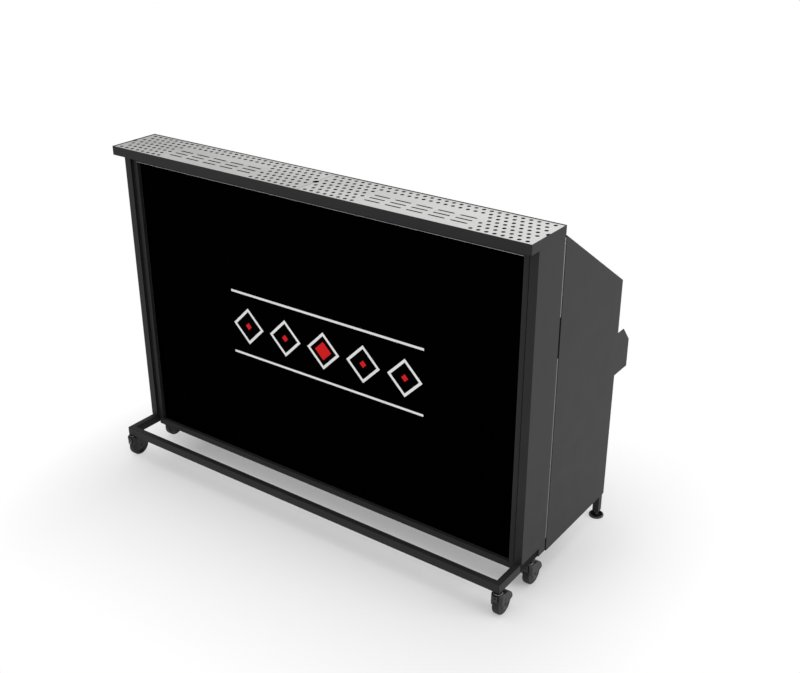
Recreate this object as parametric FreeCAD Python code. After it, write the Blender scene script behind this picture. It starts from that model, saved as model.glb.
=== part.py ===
import FreeCAD, Part
import math
import os

os.makedirs("parts", exist_ok=True)

# Portable bar: a panelled front on a tube chassis with casters, a drip-tray bar top,
# two hinged wings with levelling feet, and a lift-out worktop behind it.
# Millimetres. X runs along the bar, -Y is the guests' side, +Z is up.
# The origin is on the floor, at the centre of the footprint.

# Bar top
TOP_LENGTH = 1600.0
TOP_DEPTH = 189.0
TOP_HEIGHT = 1160.0
FASCIA_HEIGHT = 30.0
END_OVERHANG = 2.5
FRONT_OVERHANG = 45.0

# Sheet metal
SHEET = 2.0
FLANGE = 25.0
RUNNING_GAP = 0.3

# Chassis of rectangular tube
BASE_LEVEL = 91.0
TUBE_HEIGHT = 30.0
TUBE_WIDTH = 20.0
TUBE_WALL = 1.5
CHASSIS_INSET = 3.5
CHASSIS_REACH = 77.0
CHASSIS_LENGTH = 227.0
PLUG_DEPTH = 12.0

# Cheeks, the fixed columns at both ends
CHEEK_FACE = 28.0
CHEEK_RETURN = 30.0
CHEEK_TAB = 16.5

# Frame round the front panel
GROOVE = 2.0
FRAME_SETBACK = 8.3
STILE_FACE = 19.5
TOP_RAIL_FACE = 29.0
BOTTOM_RAIL_FACE = 22.5
FRAME_DROP = 3.5
FRAME_DEPTH = 13.3
REBATE = 8.0
PANEL_SHEET = 4.0
RETAINER_WIDTH = 14.0

# Perforated drip plates
PLATE_SHEET = 2.0
PLATE_RIM_GAP = 1.0
PLATE_JOINT_GAP = 1.5
PLATE_SINK = 0.2
LEDGE_WIDTH = 8.0
HOLE_SIDE = 8.4
HOLE_PITCH = 25.17
HOLE_ROW_PITCH = 25.2
HOLE_ROWS = 7
FIRST_HOLE = 20.0
FIRST_ROW = 19.1
FINGER_RADIUS = 10.0
FINGER_SIDES = 16
FIELD_START = 208.0
FIELD_END = 587.0
FIELD_ROWS = 5
SLOT_LENGTH = 56.0
SLOT_WIDTH = 7.0
SLOT_PITCH = 74.0
SLOT_ROW_PITCH = 25.2
SLOT_ROWS = 3
SLOT_COLUMNS = 5

# Piano hinges, an upper and a lower length on each side
KNUCKLE_DIAMETER = 8.0
HINGE_PIN_DIAMETER = 3.0
HINGE_PIN_PLAY = 0.09
HINGE_SIDES = 12
KNUCKLE_PITCH = 80.0
LEAF_SHEET = 1.2
LEAF_WIDTH = 20.0
UPPER_HINGE_TOP = 36.0
UPPER_HINGE_LENGTH = 240.0
LOWER_HINGE_TOP = 405.0
LOWER_HINGE_LENGTH = 619.0

# Wings, the hinged side panels
WING_DEPTH = 399.0
WING_FRONT_DROP = 32.5
WING_REAR_DROP = 297.0
WING_BOTTOM = 85.0
LEG_SIDE = 22.0
LEG_WALL = 1.5
LEG_BOTTOM = 22.0
LEG_LENGTH = 330.0
LEG_INSET = 2.0
INSERT_HEIGHT = 14.0

# Speed rail and the wing end plates that close it
RAIL_TOP_DROP = 479.0
RAIL_HEIGHT = 149.0
RAIL_DEPTH = 88.0
RAIL_CHAMFER_DEPTH = 46.0
RAIL_CHAMFER_HEIGHT = 52.0
RAIL_SHEET = 1.5
RAIL_OVERLAP = 28.0
RAIL_LIP = 8.0
RAIL_END_GAP = 4.0
BOLT_RADIUS = 5.0
BOLT_HEAD = 3.0
BOLT_COLUMNS = 5

# Levelling feet
FOOT_RADIUS = 25.0
FOOT_RIM = 4.0
FOOT_CONE = 5.0
FOOT_HUB_RADIUS = 9.0
NECK_RADIUS = 7.0
NECK_TOP = 14.0
STEM_RADIUS = 5.0
STEM_TOP = 70.0
THREAD_PLAY = 0.1
NUT_HEIGHT = 7.0
NUT_RADIUS = 9.5
NUT_SIDES = 6
FOOT_SIDES = 24

# Worktop, its pans and the ice bin
WORKTOP_DROP = 303.0
WORKTOP_SHEET = 1.5
WORKTOP_SKIRT = 40.0
WORKTOP_GAP = 2.0
SPLASH_HEIGHT = 60.0
APRON_HEIGHT = 174.0
LEDGE_LEG = 22.0
LEDGE_SHEET = 2.0
LEDGE_END_MARGIN = 29.5
BIN_SHARE = 0.445
BIN_SIDE_MARGIN = 46.5
BIN_DEPTH = 230.0
BIN_WALL = 1.5
BIN_FLANGE = 14.0
BIN_END_MARGIN = 70.0
BIN_TAPER = 8.0
DRAIN_RADIUS = 14.0
DRAIN_BORE_RADIUS = 10.0
DRAIN_LENGTH = 30.0
DRAIN_SIDES = 16
LID_SHEET = 1.5
LID_LIP = 10.0
LID_GAP = 1.0
GRIP_LENGTH = 120.0
GRIP_HEIGHT = 24.0
GRIP_WIDTH = 10.0
PAN_COUNT = 4
PAN_SIDE_MARGIN = 108.5
PAN_DEPTH = 100.0
PAN_WALL = 1.2
PAN_FLANGE = 8.0
PAN_BAR = 34.0
PAN_END_BAR = 34.5
BOARD_LENGTH = 212.5
CUTOUT_PLAY = 2.5

# Casters, one broad wheel in a hooded fork
WHEEL_RADIUS = 37.5
WHEEL_WIDTH = 24.0
WHEEL_SIDES = 24
WHEEL_CHAMFER = 3.0
WHEEL_DISH_RADIUS = 29.0
WHEEL_DISH_DEPTH = 1.5
AXLE_RADIUS = 4.0
AXLE_PLAY = 0.1
AXLE_HEAD = 1.5
CASTER_TRAIL = 22.0
FORK_SHEET = 3.0
WHEEL_SIDE_GAP = 0.8
GUARD_GAP = 1.0
GUARD_SHEET = 2.5
GUARD_START_DEG = 5.0
GUARD_END_DEG = 150.0
GUARD_STEPS = 9
FORK_FOOT_RADIUS = 12.0
FORK_FOOT_START_DEG = 210.0
FORK_FOOT_END_DEG = 330.0
FORK_FOOT_STEPS = 4
COLLAR_RADIUS = 16.5
COLLAR_HEIGHT = 5.0
BOSS_RADIUS = 12.0
BOSS_HEIGHT = 16.0
BOSS_SIDES = 16
STEM_SHANK_RADIUS = 5.0
STEM_SHANK_LENGTH = 14.0
SWIVEL_PIN_RADIUS = 3.5
SWIVEL_PIN_LENGTH = 13.0
SWIVEL_PLAY = 0.1
STEM_SIDES = 16
REAR_CASTER_OFFSET = 179.0
PEDAL_WIDTH = 18.0
PEDAL_REACH = 20.0
PEDAL_TOP = 85.0
PEDAL_BOTTOM = 60.0
PEDAL_SHEET = 4.5
PEDAL_LEAN = 3.5
PEDAL_TOE_SHEET = 3.6
PEDAL_PIVOT = 79.0
PEDAL_EAR_WIDTH = 6.0
PEDAL_EAR_HEIGHT = 7.0
PEDAL_PIN_RADIUS = 1.2
PEDAL_PLAY = 0.3
PIN_SIDES = 8

# One overrun for every cut that passes through
OVERRUN = 1.0

# Half a side's turn lays a cross turning on one of its flats
FLAT_DOWN_TURN = 0.5

# Derived places along Y
front_swivel_reach = CHASSIS_REACH - TUBE_WIDTH / 2
footprint_front = front_swivel_reach + PEDAL_REACH
seam_width = KNUCKLE_DIAMETER + 2 * RUNNING_GAP
footprint_rear = TOP_DEPTH + seam_width + WING_DEPTH + RAIL_DEPTH
top_front = (footprint_front - footprint_rear) / 2
top_rear = top_front + TOP_DEPTH
cheek_front = top_front + FRONT_OVERHANG
frame_front = cheek_front + FRAME_SETBACK
panel_front = frame_front + FRAME_DEPTH
panel_rear = panel_front + PANEL_SHEET
tab_rear = cheek_front + CHEEK_RETURN
tab_front = tab_rear - SHEET
chassis_front = top_front - CHASSIS_REACH
chassis_rear = chassis_front + CHASSIS_LENGTH
front_swivel_y = chassis_front + TUBE_WIDTH / 2
rear_swivel_y = front_swivel_y + REAR_CASTER_OFFSET
hinge_y = top_rear + seam_width / 2
wing_front = top_rear + seam_width
wing_rear = wing_front + WING_DEPTH
rail_rear = wing_rear + RAIL_DEPTH
worktop_front = wing_front + SHEET + WORKTOP_GAP
worktop_rear = wing_rear - SHEET

# Derived places along X, on the right-hand side
outer_x = TOP_LENGTH / 2 - END_OVERHANG
inner_x = outer_x - SHEET
cheek_inner = outer_x - CHEEK_FACE
frame_outer = cheek_inner - GROOVE
sight_x = frame_outer - STILE_FACE
chassis_x = outer_x - CHASSIS_INSET
swivel_x = chassis_x - TUBE_WIDTH / 2
hinge_x = outer_x - KNUCKLE_DIAMETER / 2
worktop_x = inner_x - WORKTOP_GAP
rail_x = worktop_x - RAIL_END_GAP

# The bays of the worktop: its length less every bar, shared by the bin and the pans
bars = BIN_END_MARGIN + BOARD_LENGTH + (PAN_COUNT - 1) * PAN_BAR + PAN_END_BAR
bay_length = 2 * worktop_x - bars
bin_length = BIN_SHARE * bay_length
pan_length = (bay_length - bin_length) / PAN_COUNT

# Derived heights
fascia_bottom = TOP_HEIGHT - FASCIA_HEIGHT
chassis_top = BASE_LEVEL + TUBE_HEIGHT
frame_bottom = BASE_LEVEL - FRAME_DROP
sight_top = fascia_bottom - TOP_RAIL_FACE
sight_bottom = frame_bottom + BOTTOM_RAIL_FACE
worktop_top = TOP_HEIGHT - WORKTOP_DROP
worktop_under = worktop_top - WORKTOP_SKIRT
rail_top = TOP_HEIGHT - RAIL_TOP_DROP
rail_bottom = rail_top - RAIL_HEIGHT
plate_top = TOP_HEIGHT - PLATE_SINK
plate_under = plate_top - PLATE_SHEET
ledge_top = plate_under - RUNNING_GAP

ALONG_X = FreeCAD.Vector(1, 0, 0)
ALONG_Y = FreeCAD.Vector(0, 1, 0)
ALONG_Z = FreeCAD.Vector(0, 0, 1)
CENTRE = FreeCAD.Vector(0, 0, 0)


def point(x, y, z):
    return FreeCAD.Vector(x, y, z)


def block(x0, x1, y0, y1, z0, z1):
    return Part.makeBox(x1 - x0, y1 - y0, z1 - z0, point(x0, y0, z0))


def plan_prism(outline, z0, z1):
    corners = [point(x, y, z0) for x, y in outline]
    face = Part.Face(Part.makePolygon(corners + corners[:1]))
    return face.extrude(point(0, 0, z1 - z0))


def side_prism(outline, x0, x1):
    corners = [point(x0, y, z) for y, z in outline]
    face = Part.Face(Part.makePolygon(corners + corners[:1]))
    return face.extrude(point(x1 - x0, 0, 0))


def mirrored(shape):
    return shape.mirror(CENTRE, ALONG_X)


def ring_points(radius, sides, turn=0.0):
    points = []
    for i in range(sides):
        angle = 2 * math.pi * (i + turn) / sides
        points.append((radius * math.cos(angle), radius * math.sin(angle)))
    return points


def turned_solid(rings):
    # Flat facets between rings of corners, closed by a flat face at each end
    faces = []
    for ring in (rings[0], rings[-1]):
        faces.append(Part.Face(Part.makePolygon(ring + ring[:1])))
    for low, high in zip(rings, rings[1:]):
        for i in range(len(low)):
            corners = [low[i - 1], low[i], high[i], high[i - 1], low[i - 1]]
            faces.append(Part.Face(Part.makePolygon(corners)))
    solid = Part.makeSolid(Part.makeShell(faces))
    if solid.Volume < 0:
        solid.reverse()
    return solid


def upright_turning(x, y, stations, sides):
    # A turned piece on a vertical axis; stations are (height, radius) from the bottom up
    rings = []
    for height, radius in stations:
        rings.append([point(x + a, y + b, height) for a, b in ring_points(radius, sides)])
    return turned_solid(rings)


def cross_turning(y, z, stations, sides):
    # A turned piece on an axis along X; stations are (x, radius)
    rings = []
    for x, radius in stations:
        flat = ring_points(radius, sides, FLAT_DOWN_TURN)
        rings.append([point(x, y + a, z + b) for a, b in flat])
    return turned_solid(rings)


def round_bar(x, y, low, high, radius, sides):
    return upright_turning(x, y, [(low, radius), (high, radius)], sides)


def save(shape, node):
    shape.exportStep("parts/" + node + ".step")


def save_pair(right_shape, stem):
    save(right_shape, stem + "_right")
    save(mirrored(right_shape), stem + "_left")


# Chassis
def hollow_bar(x0, x1, y0, y1, open_along_x):
    outer = block(x0, x1, y0, y1, BASE_LEVEL, chassis_top)
    low = BASE_LEVEL + TUBE_WALL
    high = chassis_top - TUBE_WALL
    if open_along_x:
        core = block(x0 - OVERRUN, x1 + OVERRUN, y0 + TUBE_WALL, y1 - TUBE_WALL, low, high)
    else:
        core = block(x0 + TUBE_WALL, x1 - TUBE_WALL, y0 - OVERRUN, y1 + OVERRUN, low, high)
    return outer.cut(core)


def mitre_wedge():
    # The corner beyond the 45 degree joint, on the front rail's side of it
    inner = chassis_x - TUBE_WIDTH
    outline = [
        (inner, chassis_front + TUBE_WIDTH),
        (chassis_x, chassis_front),
        (inner - TUBE_WIDTH, chassis_front),
        (inner - TUBE_WIDTH, chassis_front + TUBE_WIDTH),
    ]
    return plan_prism(outline, BASE_LEVEL - OVERRUN, chassis_top + OVERRUN)


def stem_hole(y):
    low = BASE_LEVEL - OVERRUN
    high = BASE_LEVEL + TUBE_WALL + OVERRUN
    return round_bar(swivel_x, y, low, high, STEM_SHANK_RADIUS, STEM_SIDES)


def chassis_front_rail():
    bar = hollow_bar(-chassis_x, chassis_x, chassis_front, chassis_front + TUBE_WIDTH, True)
    inner = chassis_x - TUBE_WIDTH
    middle = block(-inner, inner, chassis_front, chassis_front + TUBE_WIDTH, BASE_LEVEL, chassis_top)
    keep = middle.fuse(mitre_wedge()).fuse(mirrored(mitre_wedge())).removeSplitter()
    hole = stem_hole(front_swivel_y)
    save(bar.common(keep).cut(hole).cut(mirrored(hole)), "chassis_front_rail")


def chassis_side_rails():
    bar = hollow_bar(chassis_x - TUBE_WIDTH, chassis_x, chassis_front, chassis_rear, False)
    bar = bar.cut(mitre_wedge()).cut(stem_hole(front_swivel_y)).cut(stem_hole(rear_swivel_y))
    save_pair(bar, "chassis_side_rail")


def chassis_rear_rail():
    inner = chassis_x - TUBE_WIDTH
    save(hollow_bar(-inner, inner, chassis_rear - TUBE_WIDTH, chassis_rear, True), "chassis_rear_rail")


def chassis_end_plugs():
    inner = chassis_x - TUBE_WIDTH + TUBE_WALL
    outer = chassis_x - TUBE_WALL
    low = BASE_LEVEL + TUBE_WALL
    high = chassis_top - TUBE_WALL
    plug = block(inner, outer, chassis_rear - PLUG_DEPTH, chassis_rear, low, high)
    save(Part.makeCompound([plug, mirrored(plug)]), "chassis_end_plugs")


# Cheeks
def cheek_outline():
    return [
        (outer_x - FLANGE, top_rear),
        (outer_x, top_rear),
        (outer_x, cheek_front),
        (cheek_inner, cheek_front),
        (cheek_inner, tab_front),
        (cheek_inner - CHEEK_TAB, tab_front),
        (cheek_inner - CHEEK_TAB, tab_rear),
        (cheek_inner + SHEET, tab_rear),
        (cheek_inner + SHEET, cheek_front + SHEET),
        (inner_x, cheek_front + SHEET),
        (inner_x, top_rear - SHEET),
        (outer_x - FLANGE, top_rear - SHEET),
    ]


def cheeks():
    cheek = plan_prism(cheek_outline(), BASE_LEVEL, fascia_bottom)
    foot = block(
        cheek_inner - CHEEK_TAB - OVERRUN, outer_x + OVERRUN,
        cheek_front - OVERRUN, chassis_rear,
        BASE_LEVEL - OVERRUN, chassis_top,
    )
    save_pair(cheek.cut(foot), "cheek")


# Front panel and its frame
def frame_stiles():
    outline = [
        (sight_x, frame_front),
        (frame_outer, frame_front),
        (frame_outer, tab_front),
        (sight_x + REBATE, tab_front),
        (sight_x + REBATE, panel_front),
        (sight_x, panel_front),
    ]
    save_pair(plan_prism(outline, frame_bottom, fascia_bottom), "frame_stile")


def frame_rail(low, high, seat_low, seat_high, node):
    face = block(-sight_x, sight_x, frame_front, panel_front, low, high)
    back = block(-sight_x, sight_x, panel_front, tab_front, seat_low, seat_high)
    save(face.fuse(back).removeSplitter(), node)


def frame_rails():
    frame_rail(sight_top, fascia_bottom, sight_top + REBATE, fascia_bottom, "frame_rail_top")
    frame_rail(frame_bottom, sight_bottom, frame_bottom, sight_bottom - REBATE, "frame_rail_bottom")


def front_panel():
    half = sight_x + REBATE
    low = sight_bottom - REBATE
    high = sight_top + REBATE
    save(block(-half, half, panel_front, panel_rear, low, high), "front_panel")


def panel_retainers():
    half = sight_x + REBATE
    low = sight_bottom - REBATE
    high = sight_top + REBATE
    inner_low = low + RETAINER_WIDTH
    inner_high = high - RETAINER_WIDTH
    bottom_strip = block(-half, half, panel_rear, tab_front, low, inner_low)
    top_strip = block(-half, half, panel_rear, tab_front, inner_high, high)
    side_strip = block(half - RETAINER_WIDTH, half, panel_rear, tab_front, inner_low, inner_high)
    save(Part.makeCompound([bottom_strip, top_strip, side_strip, mirrored(side_strip)]), "panel_retainers")


def back_cover():
    rear = top_rear - SHEET
    save(block(-inner_x, inner_x, rear - SHEET, rear, chassis_top, fascia_bottom), "back_cover")


# Bar top and drip plates
def bar_top():
    shell = block(-TOP_LENGTH / 2, TOP_LENGTH / 2, top_front, top_rear, fascia_bottom, TOP_HEIGHT)
    hollow = block(
        SHEET - TOP_LENGTH / 2, TOP_LENGTH / 2 - SHEET,
        top_front + SHEET, top_rear - SHEET,
        fascia_bottom + SHEET, TOP_HEIGHT + OVERRUN,
    )
    save(shell.cut(hollow), "bar_top")


def finger_row_y():
    return top_front + FIRST_ROW + HOLE_ROW_PITCH * (HOLE_ROWS // 2)


def plate_ledges():
    end = TOP_LENGTH / 2 - SHEET
    front = top_front + SHEET
    rear = top_rear - SHEET
    low = ledge_top - SHEET
    front_ledge = block(-end, end, front, front + LEDGE_WIDTH, low, ledge_top)
    rear_ledge = block(-end, end, rear - LEDGE_WIDTH, rear, low, ledge_top)
    half = LEDGE_WIDTH / 2
    clear = FINGER_RADIUS + LEDGE_WIDTH
    front_bearer = block(
        -half, half, front + LEDGE_WIDTH, finger_row_y() - clear, fascia_bottom + SHEET, ledge_top)
    rear_bearer = block(
        -half, half, finger_row_y() + clear, rear - LEDGE_WIDTH, fascia_bottom + SHEET, ledge_top)
    save(Part.makeCompound([front_ledge, rear_ledge, front_bearer, rear_bearer]), "plate_ledges")


def hole_places():
    # Staggered rows that leave a plain field in the middle of the plate's front
    places = []
    last = TOP_LENGTH / 2 - FIRST_HOLE
    for row in range(HOLE_ROWS):
        start = FIRST_HOLE + (row % 2) * HOLE_PITCH / 2
        count = int((last - start) / HOLE_PITCH) + 1
        for i in range(count):
            x = start + i * HOLE_PITCH
            in_field = row < FIELD_ROWS and FIELD_START < x < FIELD_END
            if not in_field:
                places.append((x, top_front + FIRST_ROW + row * HOLE_ROW_PITCH))
    return places


def slot_places():
    middle_x = (FIELD_START + FIELD_END) / 2
    middle_y = top_front + FIRST_ROW + HOLE_ROW_PITCH * (FIELD_ROWS - 1) / 2
    places = []
    for row in range(SLOT_ROWS):
        for column in range(SLOT_COLUMNS):
            x = middle_x + (column - (SLOT_COLUMNS - 1) / 2) * SLOT_PITCH
            y = middle_y + (row - (SLOT_ROWS - 1) / 2) * SLOT_ROW_PITCH
            places.append((x, y))
    return places


def drip_plates():
    near = PLATE_JOINT_GAP / 2
    far = TOP_LENGTH / 2 - SHEET - PLATE_RIM_GAP
    front = top_front + SHEET + PLATE_RIM_GAP
    rear = top_rear - SHEET - PLATE_RIM_GAP
    plate = block(near, far, front, rear, plate_under, plate_top)
    low = plate_under - OVERRUN
    high = plate_top + OVERRUN
    cutters = []
    half = HOLE_SIDE / 2
    for x, y in hole_places():
        cutters.append(block(x - half, x + half, y - half, y + half, low, high))
    for x, y in slot_places():
        cutters.append(block(
            x - SLOT_LENGTH / 2, x + SLOT_LENGTH / 2, y - SLOT_WIDTH / 2, y + SLOT_WIDTH / 2, low, high))
    for x in (0.0, far + PLATE_RIM_GAP):
        cutters.append(round_bar(x, finger_row_y(), low, high, FINGER_RADIUS, FINGER_SIDES))
    save_pair(plate.cut(Part.makeCompound(cutters)), "drip_plate")


# Piano hinges
def knuckle_count(length):
    # An odd count, so the fixed leaf holds both ends of the pin
    return 2 * int(length / KNUCKLE_PITCH / 2) + 1


def hinge_spans():
    return [
        (TOP_HEIGHT - UPPER_HINGE_TOP - UPPER_HINGE_LENGTH, UPPER_HINGE_LENGTH),
        (TOP_HEIGHT - LOWER_HINGE_TOP - LOWER_HINGE_LENGTH, LOWER_HINGE_LENGTH),
    ]


def hinge_leaf(bottom, length, face_y, back_y, first_knuckle):
    # A leaf plate between two planes, with every second knuckle on it
    radius = KNUCKLE_DIAMETER / 2
    clear = hinge_x - radius - RUNNING_GAP
    low_y = min(face_y, back_y)
    high_y = max(face_y, back_y)
    count = knuckle_count(length)
    step = length / count
    leaf = block(hinge_x - LEAF_WIDTH, clear, low_y, high_y, bottom, bottom + length)
    for i in range(first_knuckle, count, 2):
        low = bottom + i * step + RUNNING_GAP / 2
        high = low + step - RUNNING_GAP
        barrel = round_bar(hinge_x, hinge_y, low, high, radius, HINGE_SIDES)
        tab = block(clear - OVERRUN, hinge_x, low_y, high_y, low, high)
        leaf = leaf.fuse(tab).fuse(barrel)
    bore_radius = HINGE_PIN_DIAMETER / 2 + HINGE_PIN_PLAY
    top = bottom + length
    bore = round_bar(hinge_x, hinge_y, bottom - OVERRUN, top + OVERRUN, bore_radius, HINGE_SIDES)
    return leaf.cut(bore).removeSplitter()


def hinges():
    fixed = []
    moving = []
    pins = []
    for bottom, length in hinge_spans():
        fixed.append(hinge_leaf(bottom, length, top_rear, top_rear + LEAF_SHEET, 0))
        moving.append(hinge_leaf(bottom, length, wing_front, wing_front - LEAF_SHEET, 1))
        pin = round_bar(
            hinge_x, hinge_y, bottom, bottom + length, HINGE_PIN_DIAMETER / 2, HINGE_SIDES)
        pins.append(pin)
        pins.append(mirrored(pin))
    save_pair(Part.makeCompound(fixed), "hinge_leaf_fixed")
    save_pair(Part.makeCompound(moving), "hinge_leaf_moving")
    save(Part.makeCompound(pins), "hinge_pins")


# Wings
def wing_outline():
    chamfer_y = rail_rear - RAIL_CHAMFER_DEPTH
    chamfer_z = rail_top - RAIL_CHAMFER_HEIGHT
    return [
        (wing_front, WING_BOTTOM),
        (wing_rear, WING_BOTTOM),
        (wing_rear, rail_bottom),
        (rail_rear, rail_bottom),
        (rail_rear, chamfer_z),
        (chamfer_y, rail_top),
        (wing_rear, rail_top),
        (wing_rear, TOP_HEIGHT - WING_REAR_DROP),
        (wing_front, TOP_HEIGHT - WING_FRONT_DROP),
    ]


def wing_panels():
    web = side_prism(wing_outline(), inner_x, outer_x)
    inside = outer_x - FLANGE
    slope = (WING_REAR_DROP - WING_FRONT_DROP) / WING_DEPTH
    top = TOP_HEIGHT - WING_FRONT_DROP - slope * SHEET
    front_flange = block(inside, inner_x, wing_front, wing_front + SHEET, WING_BOTTOM, top)
    rear_top = rail_bottom - FLANGE
    floor_front = wing_front + SHEET
    floor_rear = wing_rear - SHEET
    rear_flange = block(inside, inner_x, wing_rear - SHEET, wing_rear, WING_BOTTOM, rear_top)
    bottom_flange = block(inside, inner_x, floor_front, floor_rear, WING_BOTTOM, WING_BOTTOM + SHEET)
    leg_rear = wing_rear - SHEET - LEG_INSET
    opening = block(
        inner_x - LEG_SIDE, inner_x, leg_rear - LEG_SIDE, leg_rear,
        WING_BOTTOM - OVERRUN, WING_BOTTOM + SHEET + OVERRUN,
    )
    # The sheet and the three flats that are welded along its inner side
    save_pair(Part.makeCompound([web, front_flange, rear_flange, bottom_flange.cut(opening)]), "wing_panel")


def leg_place():
    rear = wing_rear - SHEET - LEG_INSET
    return inner_x - LEG_SIDE / 2, rear - LEG_SIDE / 2


def legs():
    x, y = leg_place()
    half = LEG_SIDE / 2
    core = half - LEG_WALL
    leg_top = LEG_BOTTOM + LEG_LENGTH
    insert_top = LEG_BOTTOM + INSERT_HEIGHT
    nut_low = LEG_BOTTOM - NUT_HEIGHT
    tube = block(x - half, x + half, y - half, y + half, LEG_BOTTOM, leg_top)
    hollow = block(x - core, x + core, y - core, y + core, LEG_BOTTOM - OVERRUN, leg_top + OVERRUN)
    save_pair(tube.cut(hollow), "leg")
    plug = block(x - core, x + core, y - core, y + core, LEG_BOTTOM, insert_top)
    bore_radius = STEM_RADIUS + THREAD_PLAY
    bore = round_bar(x, y, nut_low - OVERRUN, insert_top + OVERRUN, bore_radius, FOOT_SIDES)
    save_pair(plug.cut(bore), "leg_insert")
    nut = round_bar(x, y, nut_low, LEG_BOTTOM, NUT_RADIUS, NUT_SIDES)
    save_pair(nut.cut(bore), "lock_nut")


def levelling_feet():
    x, y = leg_place()
    stations = [
        (0.0, FOOT_RADIUS),
        (FOOT_RIM, FOOT_RADIUS),
        (FOOT_RIM + FOOT_CONE, FOOT_HUB_RADIUS),
    ]
    pad = upright_turning(x, y, stations, FOOT_SIDES)
    neck = round_bar(x, y, FOOT_RIM, NECK_TOP, NECK_RADIUS, FOOT_SIDES)
    stem = round_bar(x, y, NECK_TOP, STEM_TOP, STEM_RADIUS, FOOT_SIDES)
    save_pair(pad.fuse(neck).fuse(stem), "levelling_foot")


# Worktop and what it carries
def angle_ledge_outline(seat, away):
    # An angle in section: (horizontal place, height) with its seat on top
    return [
        (seat, worktop_under - RUNNING_GAP),
        (seat + away * LEDGE_LEG, worktop_under - RUNNING_GAP),
        (seat + away * LEDGE_LEG, worktop_under - RUNNING_GAP - LEDGE_SHEET),
        (seat + away * LEDGE_SHEET, worktop_under - RUNNING_GAP - LEDGE_SHEET),
        (seat + away * LEDGE_SHEET, worktop_under - RUNNING_GAP - LEDGE_LEG),
        (seat, worktop_under - RUNNING_GAP - LEDGE_LEG),
    ]


def worktop_ledges():
    half = outer_x - FLANGE - LEDGE_LEG
    save(side_prism(angle_ledge_outline(top_rear, 1), -half, half), "worktop_front_ledge")
    start = wing_front + LEDGE_END_MARGIN
    length = WING_DEPTH - 2 * LEDGE_END_MARGIN
    corners = [point(x, start, z) for x, z in angle_ledge_outline(inner_x, -1)]
    face = Part.Face(Part.makePolygon(corners + corners[:1]))
    save_pair(face.extrude(point(0, length, 0)), "worktop_side_ledge")


def bin_place():
    x0 = BIN_END_MARGIN - worktop_x
    return x0, x0 + bin_length, worktop_front + BIN_SIDE_MARGIN, worktop_rear - BIN_SIDE_MARGIN


def pan_place(number):
    x0 = bin_place()[1] + BOARD_LENGTH + number * (pan_length + PAN_BAR)
    return x0, x0 + pan_length, worktop_front + PAN_SIDE_MARGIN, worktop_rear - PAN_SIDE_MARGIN


def flange_sweep():
    # The circle that the inner edge of a wing's front flange turns in
    return math.hypot(hinge_x - (outer_x - FLANGE), wing_front + SHEET - hinge_y) + WORKTOP_GAP


def worktop_joint():
    # The two sections meet midway between the ice bin and the first pan
    return (bin_place()[1] + pan_place(0)[0]) / 2


def worktop_frame(start, end, places):
    # Strips of sheet, butt welded round a row of bays that pans hang in
    front = places[0][2] - CUTOUT_PLAY
    rear = places[0][3] + CUTOUT_PLAY
    low = worktop_top - WORKTOP_SHEET
    strips = [
        block(start, end, hinge_y + flange_sweep(), front, low, worktop_top),
        block(start, end, rear, worktop_rear - WORKTOP_SHEET, low, worktop_top),
    ]
    edges = [start]
    for place in places:
        edges += [place[0] - CUTOUT_PLAY, place[1] + CUTOUT_PLAY]
    edges.append(end)
    for left, right in zip(edges[::2], edges[1::2]):
        strips.append(block(left, right, front, rear, low, worktop_top))
    return strips


def worktop_splash(start, end):
    # An upright strip behind the bar top, on a foot that leaves room for the wings' flanges
    t = WORKTOP_SHEET
    wall = block(start, end, worktop_front, worktop_front + t, worktop_under, worktop_top + SPLASH_HEIGHT)
    foot = block(start, end, worktop_front + t, hinge_y + flange_sweep(), worktop_top - t, worktop_top)
    return wall.fuse(foot).removeSplitter()


def worktop_sections():
    # Each section has its frame, its length of the splashback and a skirt at its outer end
    low = worktop_top - WORKTOP_SHEET
    skirt = block(
        worktop_x - WORKTOP_SHEET, worktop_x, hinge_y + flange_sweep(), worktop_rear - WORKTOP_SHEET,
        worktop_under, low,
    )
    splash_end = hinge_x - flange_sweep()
    pans = [pan_place(number) for number in range(PAN_COUNT)]
    ice_side = worktop_frame(-worktop_x, worktop_joint(), [bin_place()])
    ice_side += [worktop_splash(-splash_end, worktop_joint()), mirrored(skirt)]
    save(Part.makeCompound(ice_side), "worktop_ice_section")
    pan_side = worktop_frame(worktop_joint(), worktop_x, pans)
    pan_side += [worktop_splash(worktop_joint(), splash_end), skirt]
    save(Part.makeCompound(pan_side), "worktop_pan_section")


def worktop_apron():
    # The drop plate at the worktop's rear edge, which the speed rail is bolted to
    t = WORKTOP_SHEET
    low = worktop_top - APRON_HEIGHT
    save(block(-worktop_x, worktop_x, worktop_rear - t, worktop_rear, low, worktop_top), "worktop_apron")


def hanging_pan(place, depth, wall, flange, taper):
    # A deep-drawn pan that hangs in its cut-out by the flange round its rim
    x0, x1, y0, y1 = place
    seat = worktop_top + RUNNING_GAP
    floor = seat - depth

    def rectangle(inset, z):
        a = x0 + inset
        b = x1 - inset
        c = y0 + inset
        d = y1 - inset
        return [point(a, c, z), point(b, c, z), point(b, d, z), point(a, d, z)]

    body = turned_solid([rectangle(taper, floor), rectangle(0.0, seat)])
    rim = block(x0 - flange, x1 + flange, y0 - flange, y1 + flange, seat, seat + wall)
    inside = turned_solid([rectangle(wall + taper, floor + wall), rectangle(wall, seat + wall)])
    return body.fuse(rim).cut(inside).removeSplitter(), floor


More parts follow.
